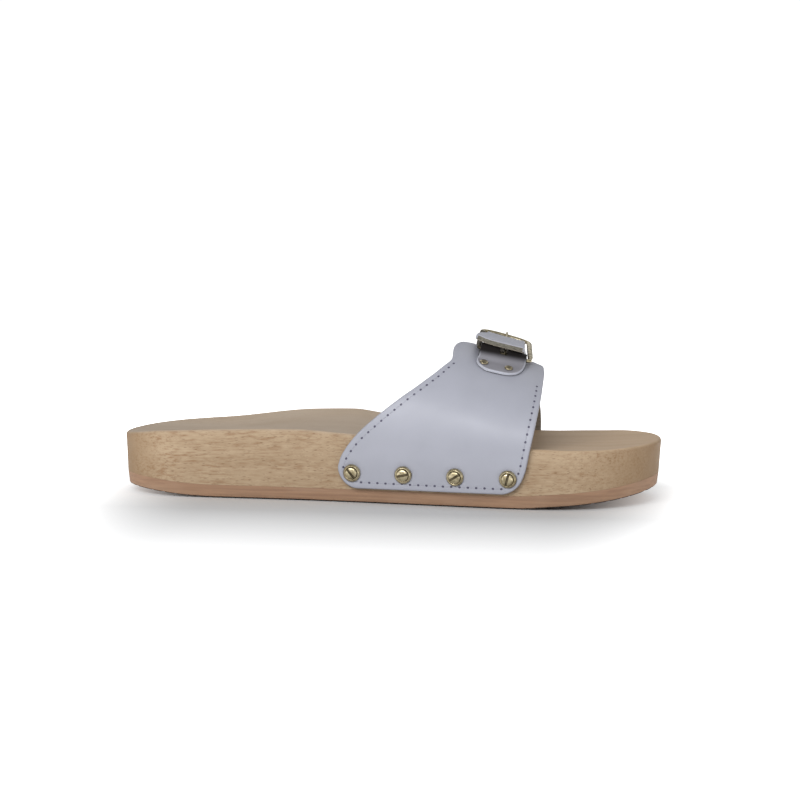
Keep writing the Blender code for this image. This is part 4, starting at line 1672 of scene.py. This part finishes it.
@dataclass(frozen=True)
class Upper:
    """Leather band: the outer panel, and the inner panel that narrows to the buckled strap."""

    band: BandForm
    leather: float = 2.6
    strap_leather: float = 2.7
    end_corner: float = 5.0
    tip_corner: float = 0.5
    columns: int = 60
    strap_spacing: float = 0.6
    strap_edge_round: float = 0.5
    screw_count: int = 4
    outer_end: float = 0.5
    tip_end: float = -0.2155
    screw_height: float = 14.1
    outer_first: float = 111.8
    inner_first: float = 116.4
    screw_pitch: float = 23.6
    hole_station: float = 174.9
    hole_place: float = 0.105
    hole_half_long: float = 4.2
    hole_half_wide: float = 1.6

    def screws(self, side: Side) -> tuple[Pair, ...]:
        """Stations and places of one side's row of screws.

        Args:
            side: Side of the foot.

        Returns:
            A station and a place for each screw.
        """
        first = self.outer_first if side is Side.OUTER else self.inner_first
        column = "outer_rim" if side is Side.OUTER else "inner_rim"
        found = []
        for number in range(self.screw_count):
            station = first + number * self.screw_pitch
            rim = float(self.band.sole.at(column, np.array(station)))
            share = (self.screw_height - self.band.foot_height) / (rim - self.band.foot_height)
            found.append((station, side.value * (2.0 - share)))
        return tuple(found)

    @cached_property
    def outer_panel(self) -> SheetCut:
        """Cut of the outer panel, from its wide foot to its end under the strap.

        Returns:
            The panel's cut.
        """
        return SheetCut(
            self.band,
            OUTER_ROWS,
            OUTER_CREASES,
            start=-2.0,
            end=self.outer_end,
            end_corner=self.end_corner,
            thickness=self.leather,
            columns=self.columns,
            screws=self.screws(Side.OUTER),
        )

    @cached_property
    def inner_panel(self) -> SheetCut:
        """Cut of the inner panel, from its wide foot to the strap's free tip.

        Returns:
            The panel's cut.
        """
        return SheetCut(
            self.band,
            STRAP_ROWS,
            STRAP_CREASES,
            start=2.0,
            end=self.tip_end,
            end_corner=self.tip_corner,
            thickness=self.strap_leather,
            columns=self.columns,
            screws=self.screws(Side.INNER),
            spacing=self.strap_spacing,
            edge_round=self.strap_edge_round,
        )

    def punched(self) -> tuple[tuple[Array, Array, Array], Array]:
        """Punch the prong's hole in the inner panel.

        Returns:
            The panel's lattice, drawn to the hole's rim, and whether each of its cells is kept.
        """
        stations, places, border = self.inner_panel.lattice
        middle = self.band.arc_of(self.hole_place)
        wide = (stations - self.hole_station) / self.hole_half_wide
        long = (self.band.arc_of(places) - middle) / self.hole_half_long
        reach = (wide**4 + long**4) ** 0.25
        keep = (reach[:-1, :-1] + reach[1:, 1:] + reach[:-1, 1:] + reach[1:, :-1]) / 4.0 > 1.0
        cells = np.pad(keep, 1, constant_values=True)
        corners = np.stack([cells[:-1, :-1], cells[1:, :-1], cells[:-1, 1:], cells[1:, 1:]])
        on_rim = corners.any(axis=0) & ~corners.all(axis=0)
        pull = np.where(on_rim, 1.0 / np.maximum(reach, 0.1), 1.0)
        stations = self.hole_station + (stations - self.hole_station) * pull
        places = self.band.place_of(middle + (self.band.arc_of(places) - middle) * pull)
        return (stations, places, border), keep

    def build(self, leather: Material, lining: Material, raw_end: Material) -> None:
        """Make the two panels.

        Args:
            leather: Finish of the outer face and the cut edges.
            lining: Finish of the inner face.
            raw_end: Finish of the strap's cut end.
        """
        panels = (("outer_panel", self.outer_panel, 0), ("inner_panel_strap", self.inner_panel, 2))
        for name, panel, end in panels:
            shell = Shell()
            lattice = panel.lattice
            keep = np.ones(tuple(size - 1 for size in lattice[2].shape), bool)
            if panel is self.inner_panel:
                lattice, keep = self.punched()
            shell.add_sheet(panel.outer_face(*lattice), panel.inner_face(*lattice), lattice[2], keep, end)
            shell.make(name, [leather, lining, raw_end], ("upper",))


@dataclass(frozen=True)
class BuckleTab:
    """Leather tab that folds round the buckle's hinge bar and is riveted to the outer panel, with painted
    shadow near the fold.
    """

    band: BandForm
    hinge: HingeAxes
    back: float = 164.4
    front: float = 185.4
    low_end: float = -0.406
    rise_from: float = -0.3
    corner: float = 7.5
    leather: float = 1.5
    middle_lift: float = 3.5
    fold: float = 2.1
    fold_half: float = 10.4
    fold_shift: float = -0.6
    # Painted shadow toward the fold, where the strap's tip shades the tab: its start out from the hinge bar
    # at the tab's two sides, and the half width of its soft edge.
    painted_shade_rise: Pair = (-1.0, 0.2)
    painted_shade_reach: float = 1.2
    return_length: float = 4.0
    slot_half: float = 1.7
    slot_row: int = 4
    slot_end: float = 2.0
    edge_round: float = 0.35
    flat_rows: int = 26
    rise_rows: int = 9
    fold_rows: int = 22
    return_rows: int = 6
    knee: tuple[int, int] = (20, 34)
    knee_rounds: int = 6
    rows: int = 74
    end_rows: int = 9
    end_rounds: int = 2
    side_columns: int = 12
    narrow_rows: tuple[int, int] = (-12, 2)
    held_rows: tuple[int, int] = (-8, 4)
    border_steps: tuple[float, ...] = (0.0, 0.07, 0.18, 0.34, 0.5, 0.8, 1.2)
    rivet_place: float = -0.35
    rivet_stations: Pair = (168.3, 179.8)
    rivet_lift: float = 4.5
    rivet_sides: int = 32

    @cached_property
    def fold_axes(self) -> tuple[Array, Array]:
        """Directions along and out of the band at the hinge.

        Returns:
            Both directions.
        """
        normal = self.band.spot(self.hinge.station, self.hinge.place, 0.0)[1]
        along = np.cross(normal, self.hinge.along)
        return along / np.linalg.norm(along), np.cross(self.hinge.along, along)

    @cached_property
    def places(self) -> Array:
        """Places along the band of the middle line's flat part."""
        return np.linspace(self.low_end, self.rise_from, self.flat_rows)

    @cached_property
    def line(self) -> Array:
        """Middle line of the tab, seen from the toe.

        Returns:
            Points along and out from the hinge bar.
        """
        along, out = self.fold_axes
        stations = np.full(self.flat_rows, self.hinge.station)
        flat = self.band.raised(stations, self.places, self.middle_lift) - self.hinge.centre
        flat = np.stack([flat @ along, flat @ out], axis=1)
        away = math.hypot(*flat[-1])
        climb = math.atan2(-flat[-1, 1], -flat[-1, 0]) + math.asin(self.fold / away)
        turns = np.linspace(math.pi / 2.0 + climb, -math.pi / 2.0, self.fold_rows)
        fold = self.fold * np.column_stack([np.cos(turns), np.sin(turns)])
        rise = flat[-1] + (fold[0] - flat[-1]) * np.linspace(0.0, 1.0, self.rise_rows)[1:-1, None]
        back = fold[-1] - np.outer(np.linspace(0.0, self.return_length, self.return_rows)[1:], (1.0, 0.0))
        return softened(np.vstack([flat, rise, fold, back]), *self.knee, self.knee_rounds)

    @cached_property
    def travel(self) -> Array:
        """Length of the middle line up to each of its points."""
        return travelled(self.line)

    @cached_property
    def steps(self) -> Array:
        """Length of the tab up to each row of its lattice."""
        return crowded(np.array(self.border_steps), self.travel[-1], self.rows)

    def past_flat(self, low: int, high: int) -> Array:
        """How far each row is past the flat part: nought at one point of the line, one at another."""
        return soft_step(self.steps, self.travel[self.flat_rows + low], self.travel[self.flat_rows + high])

    def lattice(self) -> tuple[Array, Array]:
        """Lay out the lattice, which narrows toward the fold.

        Returns:
            Station of each lattice point, and each column's share of the half width.
        """
        flat_half = (self.front - self.back) / 2.0
        flat_middle = (self.front + self.back) / 2.0
        in_fold = self.past_flat(*self.narrow_rows)
        middle = flat_middle * (1.0 - in_fold) + (self.hinge.station + self.fold_shift) * in_fold
        narrower = (self.fold_half - flat_half) * in_fold
        half_width = flat_half - corner_cut(self.steps, self.corner) + narrower
        slot = self.slot_half / self.fold_half
        rim = np.array(self.border_steps) / flat_half
        side = np.concatenate([np.linspace(slot, 1.0 - rim[-1], self.side_columns)[:-1], 1.0 - rim[::-1]])
        across = np.concatenate([-side[::-1], [-slot / 2.0, 0.0, slot / 2.0], side])
        return middle[:, None] + across * half_width[:, None], across

    def seated(self, stations: Array, path: Array) -> Array:
        """Lay the middle surface on the band and round the hinge bar.

        Args:
            stations: Station of each lattice point.
            path: Middle line at each row.

        Returns:
            Points of the middle surface.
        """
        along, out = self.fold_axes
        slide = (stations - self.hinge.station)[..., None] / self.hinge.along[0] * self.hinge.along
        base = self.hinge.centre + slide + (path[:, :1] * along + path[:, 1:] * out)[:, None, :]
        place = np.interp(self.steps, self.travel[: self.flat_rows], self.places)
        place = np.broadcast_to(place[:, None], stations.shape)
        seat = self.band.raised(stations, place, self.middle_lift)
        middle_seat = self.band.raised(np.full_like(stations, self.hinge.station), place, self.middle_lift)
        drift = ((middle_seat - self.hinge.centre) @ self.hinge.along)[..., None] * self.hinge.along
        held = 1.0 - self.past_flat(*self.held_rows)
        return base + (seat - middle_seat + drift - slide) * held[:, None, None]

    def kept_cells(self, across: Array) -> Array:
        """Cut the prong's slot in the fold.

        Args:
            across: Each column's share of the half width.

        Returns:
            Whether each cell of the lattice is kept.
        """
        slot = self.slot_half / self.fold_half
        keep = np.ones((len(self.steps) - 1, len(across) - 1), bool)
        past_start = self.steps[:-1] > self.travel[self.flat_rows + self.slot_row]
        in_slot = past_start & (self.steps[:-1] < self.travel[-1] - self.slot_end)
        keep[np.ix_(in_slot, np.abs(across[:-1] + slot / 4.0) < slot)] = False
        return keep

    def build_tab(self, leather: Material, lining: Material) -> None:
        """Make the tab.

        Args:
            leather: Finish of the outer face and the edges.
            lining: Finish of the inner face, a near-black painted shade.
        """
        along, out = self.fold_axes
        path = np.column_stack([np.interp(self.steps, self.travel, self.line[:, axis]) for axis in (0, 1)])
        path = softened(path, self.end_rows, len(path) - self.end_rows, self.end_rounds)
        heading = np.gradient(path, self.steps, axis=0)
        heading /= np.linalg.norm(heading, axis=1)[:, None]
        face = (-heading[:, 1:] * along + heading[:, :1] * out)[:, None, :]
        stations, across = self.lattice()
        border = border_distance(stations, self.steps)
        base = self.seated(stations, path)
        half = (self.leather / 2.0 - corner_cut(border, self.edge_round))[..., None]
        shell = Shell()
        shell.add_sheet(base + face * half, base - face * half, border, self.kept_cells(across), 0)
        # Painted shadow: the tab darkens toward the top of its fold, where the strap's tip shades it, and
        # stays dark round the fold.
        painted_shade_from = np.interp(across, (-1.0, 1.0), self.painted_shade_rise)
        shade = soft_step(path[:, 1:] - painted_shade_from, -self.painted_shade_reach, self.painted_shade_reach)
        shade = np.maximum.accumulate(shade, axis=0).reshape(-1)
        shell.shade = np.concatenate([shade, shade])
        shell.make("buckle_tab_leather", [leather, lining], ("buckle_tab",))

    def build_rivets(self, brass: Material) -> None:
        """Make the two rivet heads.

        Args:
            brass: Finish of the rivets.
        """
        profile = eased(np.array(RIVET_PROFILE), 2, False)
        for name, station in zip(("tab_rivet_rear", "tab_rivet_front"), self.rivet_stations):
            rivet = Shell()
            centre, axis = self.band.spot(station, self.rivet_place, self.rivet_lift)
            rivet.add_turned(profile, centre, axis, self.rivet_sides, False)
            rivet.make(name + "_turned", [brass], (name,))


@dataclass(frozen=True)
class Buckle:
    """Bent-wire buckle frame and its prong."""

    hinge: HingeAxes
    wire: float = 0.85
    wide: float = 1.3
    wide_from: float = 2.5
    wide_to: float = 7.0
    half: float = 12.2
    far_half: float = 11.3
    reach: float = 33.0
    straight: float = 28.6
    corner: float = 1.6
    round_power: float = 2.6
    prong_wire: float = 0.55
    eye: float = 1.7
    eye_start: float = -10.0
    eye_leave: float = -315.0
    overrun: float = -0.3
    dip: float = -0.6
    dip_from: float = 4.8
    dip_to: float = 20.0
    rest_gap: float = 0.15
    rest_run: float = 1.0
    tip_fall: float = 0.1
    # Painted shade under the strap: its reach from the hinge bar, and how far along the bar toward the toe
    # it goes.
    shaded_reach: float = 20.0
    covered_side: float = 9.0
    corner_rows: int = 9
    bar_rows: int = 9
    bow_rows: int = 41
    eye_rows: int = 31
    frame_sides: int = 20
    prong_sides: int = 14

    def under_strap(self, shell: Shell, limit: float) -> list[int]:
        """Number the finish of each face: the second, a painted shade, where the strap covers the wire.

        Args:
            shell: Mesh of a wire.
            limit: Reach from the hinge bar up to which the wire is covered.

        Returns:
            A finish number for each face.
        """
        points = np.vstack(shell.points) - self.hinge.centre
        middles = np.array([points[list(face)].mean(axis=0) for face in shell.faces])
        covered = (middles @ self.hinge.reach < limit) & (middles @ self.hinge.along < self.covered_side)
        return covered.astype(int).tolist()

    def outline(self) -> Array:
        """Draw the middle line of the frame's wire.

        Returns:
            Points across and out along the frame, from the hinge bar round the bow and back.
        """
        turn = np.linspace(math.pi / 2.0, 0.0, self.corner_rows)
        across = self.half - self.corner + self.corner * np.cos(turn)
        corner = np.column_stack([across, self.corner * (1.0 - np.sin(turn))])
        bar = np.linspace(self.wide_from, self.wide_to, self.bar_rows)
        turn = np.linspace(0.0, math.pi / 2.0, self.bow_rows)
        power = 2.0 / self.round_power
        reach = self.straight + (self.reach - self.straight) * np.sin(turn) ** power
        bow = np.column_stack([self.far_half * np.cos(turn) ** power, reach])
        side = np.vstack([corner, np.column_stack([np.full_like(bar, self.half), bar]), bow])
        return np.vstack([side, (side[:-1] * (-1.0, 1.0))[::-1]])

    def build_frame(self, brass: Material, painted_shade: Material) -> None:
        """Make the frame.

        Args:
            brass: Finish of the wire.
            painted_shade: Painted shade on the wire where the strap covers it.
        """
        plane = self.outline()
        path = self.hinge.placed(np.pad(plane, ((0, 0), (0, 1))))
        wide = soft_step(plane[:, 1], self.wide_from, self.wide_to) * (self.wide - self.wire) + self.wire
        frame_wire = Shell()
        frame_wire.add_tube(path, self.hinge.out, self.wire, self.frame_sides, True, wide)
        frame_wire.finishes = self.under_strap(frame_wire, self.shaded_reach)
        frame_wire.make("buckle_frame_wire", [brass, painted_shade], ("buckle_frame",))

    def build_prong(self, brass: Material, painted_shade: Material) -> None:
        """Make the prong, which rests on the frame's bow.

        Args:
            brass: Finish of the wire.
            painted_shade: Painted shade on the wire where the strap covers it.
        """
        turn = np.radians(np.linspace(self.eye_start, self.eye_leave, self.eye_rows))
        eye = np.column_stack([np.zeros(self.eye_rows), self.eye * np.cos(turn), self.eye * np.sin(turn)])
        rest = self.wire + self.rest_gap + self.prong_wire
        tongue = (
            (0.0, self.dip_from, self.dip),
            (0.0, self.dip_to, self.dip),
            (0.0, self.reach - self.rest_run, rest),
            (0.0, self.reach + self.overrun, rest - self.tip_fall),
        )
        path = self.hinge.placed(eased(np.vstack([eye, tongue]), 2, False))
        prong = Shell()
        prong.add_tube(path, self.hinge.along, self.prong_wire, self.prong_sides, False)
        prong.finishes = self.under_strap(prong, self.dip_to)
        prong.make("buckle_prong_wire", [brass, painted_shade], ("buckle_prong",))


@dataclass(frozen=True)
class Fixings:
    """Slotted brass screws in cup washers along both sides of the board."""

    upper: Upper
    gap: float = 0.3
    sides: int = 48
    slot_half: float = 0.55
    slot_depth: float = 0.95
    cutter_over: float = 1.0
    cutter_reach: float = 4.0
    outer_slots: tuple[float, ...] = (-50.0, 12.0, 32.0, 75.0)
    inner_slots: tuple[float, ...] = (20.0, -35.0, 64.0, 5.0)

    def slot_cutter(
        self, centre: Array, axis: Array, degrees: float, finishes: list[Material]
    ) -> bpy.types.Object:
        """Block that cuts the slot in a screw's head.

        Args:
            centre: Foot of the screw's axis.
            axis: Direction of the screw's axis.
            degrees: Turn of the slot from the level.
            finishes: Finishes of the head and of the slot.

        Returns:
            The block, which is removed after the cut.
        """
        level = level_across(axis)
        turn = math.radians(degrees)
        along = level * math.cos(turn) + np.cross(axis, level) * math.sin(turn)
        across = np.cross(axis, along)
        high = SCREW_PROFILE[-1][1]
        corners = []
        for height in (high - self.slot_depth, high + self.cutter_over):
            for reach in (-self.cutter_reach, self.cutter_reach):
                for half in (-self.slot_half, self.slot_half):
                    corners.append(centre + axis * height + along * reach + across * half)
        faces = [(0, 1, 3, 2), (4, 6, 7, 5), (0, 4, 5, 1), (2, 3, 7, 6), (0, 2, 6, 4), (1, 5, 7, 3)]
        mesh = bpy.data.meshes.new("slot_cutter")
        mesh.from_pydata(((np.array(corners) + SOLE.shift) * METRE).tolist(), [], faces)
        for finish in finishes:
            mesh.materials.append(finish)
        # The cut faces take the second finish, the slot's painted shade.
        mesh.polygons.foreach_set("material_index", [1] * len(faces))
        face_outward(mesh)
        return add_object("slot_cutter", mesh)

    @staticmethod
    def cut(screw: bpy.types.Object, cutter: bpy.types.Object) -> None:
        """Cut the slot and keep the result as the screw's own mesh.

        Args:
            screw: Screw to cut.
            cutter: Block to cut it with.
        """
        modifier = screw.modifiers.new("slot", "BOOLEAN")
        modifier.operation = "DIFFERENCE"
        modifier.solver = "EXACT"
        modifier.object = cutter
        seen = screw.evaluated_get(bpy.context.evaluated_depsgraph_get())
        mesh = bpy.data.meshes.new_from_object(seen)
        screw.modifiers.clear()
        screw.data = mesh
        mesh.set_sharp_from_angle(angle=SHARP_ANGLE)
        bpy.data.objects.remove(cutter)

    def build(self, brass: Material, slot_painted_shade: Material) -> None:
        """Make the screws and washers of both sides.

        Args:
            brass: Finish of the fixings.
            slot_painted_shade: Dark finish of the screws' slots, a painted shade in the recess.
        """
        finishes = [brass, slot_painted_shade]
        washer_profile = eased(np.array(WASHER_PROFILE), 2, True)
        screw_profile = eased(np.array(SCREW_PROFILE), 2, False)
        for side, slots in ((Side.OUTER, self.outer_slots), (Side.INNER, self.inner_slots)):
            panel = self.upper.outer_panel if side is Side.OUTER else self.upper.inner_panel
            for number, (station, place) in enumerate(panel.screws):
                centre, axis = self.upper.band.spot(station, place, panel.thickness + self.gap)
                name = f"{side.name.lower()}_{number + 1}"
                washer = Shell()
                washer.add_turned(washer_profile, centre, axis, self.sides, True)
                washer.make(f"washer_{name}_turned", [brass], (f"washer_{name}",))
                head = Shell()
                head.add_turned(screw_profile, centre, axis, self.sides, False)
                screw = head.make(f"screw_{name}_turned", finishes, (f"screw_{name}",))
                self.cut(screw, self.slot_cutter(centre, axis, slots[number], finishes))


@dataclass(frozen=True)
class Softbox:
    """One soft studio light, aimed at the shoe."""

    name: str
    place: Triple
    width: float
    height: float
    watts: float
    colour: Colour = (1.0, 1.0, 1.0)

    def build(self, target: Vector) -> None:
        """Hang the light and aim it.

        Args:
            target: Point it is aimed at.
        """
        lamp = bpy.data.lights.new(self.name, "AREA")
        lamp.shape = "RECTANGLE"
        lamp.size = self.width
        lamp.size_y = self.height
        lamp.energy = self.watts
        lamp.color = self.colour
        hung = add_object(self.name, lamp)
        hung.location = self.place
        hung.rotation_euler = (target - Vector(self.place)).to_track_quat("-Z", "Y").to_euler()


@dataclass(frozen=True)
class Studio:
    """White paper floor, soft lights, and the camera at the photograph's angle to the shoe."""

    azimuth: float = math.radians(6.0)
    elevation: float = math.radians(5.3)
    roll: float = math.radians(0.6)
    distance: float = 1100.0
    target: Triple = (128.66, 0.0, 43.66)
    lens: float = 106.28
    sensor: float = 36.0
    clip_end: float = 50.0
    floor_half: float = 1.5
    floor_height: float = -0.00005
    light_target: Triple = (0.0, 0.0, 0.03)
    softboxes: tuple[Softbox, ...] = (
        Softbox("back_softbox", (0.0, 1.15, 1.05), 1.8, 0.9, 3.5),
        Softbox("key_softbox", (-0.30, -1.20, 0.75), 1.0, 0.5, 12.0),
    )

    def camera(self) -> None:
        """Stand the camera where the photograph was taken from."""
        tilt = math.cos(self.elevation)
        aside = math.sin(self.azimuth)
        ahead = math.cos(self.azimuth)
        back = Vector((aside * tilt, -ahead * tilt, math.sin(self.elevation)))
        right = Vector((ahead, aside, 0.0))
        up = back.cross(right)
        level = right * math.cos(self.roll) + up * math.sin(self.roll)
        upright = up * math.cos(self.roll) - right * math.sin(self.roll)
        place = Vector((np.array(self.target) + SOLE.shift) * METRE) + back * self.distance * METRE
        lens = bpy.data.cameras.new("camera")
        lens.lens = self.lens
        lens.sensor_width = self.sensor
        lens.clip_end = self.clip_end
        stand = add_object("camera", lens)
        axes = Matrix((level, upright, back)).transposed()
        stand.matrix_world = Matrix.Translation(place) @ axes.to_4x4()
        bpy.context.scene.camera = stand

    def floor(self, paper: Material) -> None:
        """Lay the paper floor.

        Args:
            paper: Finish of the floor.
        """
        half = self.floor_half
        mesh = bpy.data.meshes.new("studio_floor")
        corners = ((-half, -half), (half, -half), (half, half), (-half, half))
        mesh.from_pydata([(*corner, self.floor_height) for corner in corners], [], [(0, 1, 2, 3)])
        mesh.materials.append(paper)
        laid = add_object("studio_floor", mesh)

    def build(self, paper: Material) -> None:
        """Set up the floor, the lights, the room and the camera.

        Args:
            paper: Finish of the floor.
        """
        scene = bpy.context.scene
        scene.view_settings.view_transform = "Standard"
        scene.world = RoomFinish().room()
        self.floor(paper)
        for softbox in self.softboxes:
            softbox.build(Vector(self.light_target))
        self.camera()


# Near-black rubber of the sheet's lower edge: painted contact shadow along the floor line.
RUBBER_PAINTED_CONTACT_SHADOW = RubberFinish(
    "rubber_painted_contact_shadow", body=(0.07, 0.045, 0.032), streak=(0.03, 0.02, 0.015), dust=(0.24, 0.15, 0.1)
)
LEATHER = LeatherFinish("lavender_leather")
# The tab's leather: its face darker than the band's as painted shade under the strap, and its cut edge
# lighter as a painted highlight.
TAB_LEATHER_PAINTED_SHADE = LeatherFinish(
    "tab_leather",
    face=(0.25, 0.245, 0.27),
    cloud=(0.235, 0.23, 0.255),
    edge=(0.42, 0.43, 0.48),
    gloss=0.1,
    coat=0.0,
)
LINING = NapFinish("brown_lining", light=(0.30, 0.26, 0.21), dark=(0.20, 0.17, 0.135))
RAW_END = NapFinish("raw_strap_end", light=(0.19, 0.178, 0.145), dark=(0.075, 0.068, 0.052), fibre=1300.0)
# Near-black inner face of the tab: painted shade in the fold.
FOLD_PAINTED_SHADE = NapFinish("fold_painted_shade", light=(0.022, 0.02, 0.02), dark=(0.01, 0.009, 0.009))
THREAD = ThreadFinish("waxed_thread", light=(0.36, 0.366, 0.42), dark=(0.30, 0.305, 0.355))
# Dark discs at the needle holes: painted shade inside the holes.
NEEDLE_HOLE_SHADE = ThreadFinish("needle_hole", light=(0.09, 0.085, 0.13), dark=(0.045, 0.04, 0.07))
RIVET_BRASS = BrassFinish("rivet_brass", (0.42, 0.36, 0.24), (0.08, 0.065, 0.04), 0.12)
# Dark brass in the screws' slots: painted shade in the recess.
SLOT_BRASS_PAINTED_SHADE = BrassFinish("slot_painted_shade", (0.16, 0.13, 0.08), (0.06, 0.05, 0.03), 0.4)
# Dark brass as painted shade where the strap covers the frame and the prong.
BRASS_PAINTED_SHADE = BrassFinish("brass_painted_shade", (0.11, 0.093, 0.062), (0.045, 0.037, 0.025), 0.45)
FRAME_BRASS = BrassFinish("frame_brass", (0.48, 0.42, 0.28), (0.15, 0.125, 0.075), 0.25)


def main() -> None:
    """Make every piece of the shoe in order, then the studio."""
    logging.basicConfig(level=logging.INFO, format="%(message)s")
    band = BandForm(SOLE)
    hinge = HingeAxes(band)
    Footbed(SOLE).build(BeechFinish().material())
    Outsole(SOLE).build(RubberFinish().material(), RUBBER_PAINTED_CONTACT_SHADOW.material())
    upper = Upper(band)
    upper.build(LEATHER.material(), LINING.material(), RAW_END.material())
    thread = THREAD.material()
    hole = NEEDLE_HOLE_SHADE.material()
    Stitching(upper.outer_panel, reach_back=61.0, reach_front=62.0).build("outer_panel", thread, hole)
    Stitching(upper.inner_panel, reach_back=58.0, reach_front=60.0).build("inner_panel", thread, hole)
    tab = BuckleTab(band, hinge)
    tab.build_tab(TAB_LEATHER_PAINTED_SHADE.material(), FOLD_PAINTED_SHADE.material())
    tab.build_rivets(RIVET_BRASS.material())
    buckle = Buckle(hinge)
    brass = FRAME_BRASS.material()
    strap_shade_brass = BRASS_PAINTED_SHADE.material()
    buckle.build_frame(brass, strap_shade_brass)
    buckle.build_prong(brass, strap_shade_brass)
    Fixings(upper).build(BrassFinish().material(), SLOT_BRASS_PAINTED_SHADE.material())
    Studio().build(PaperFinish().material())


if __name__ == "__main__":
    main()
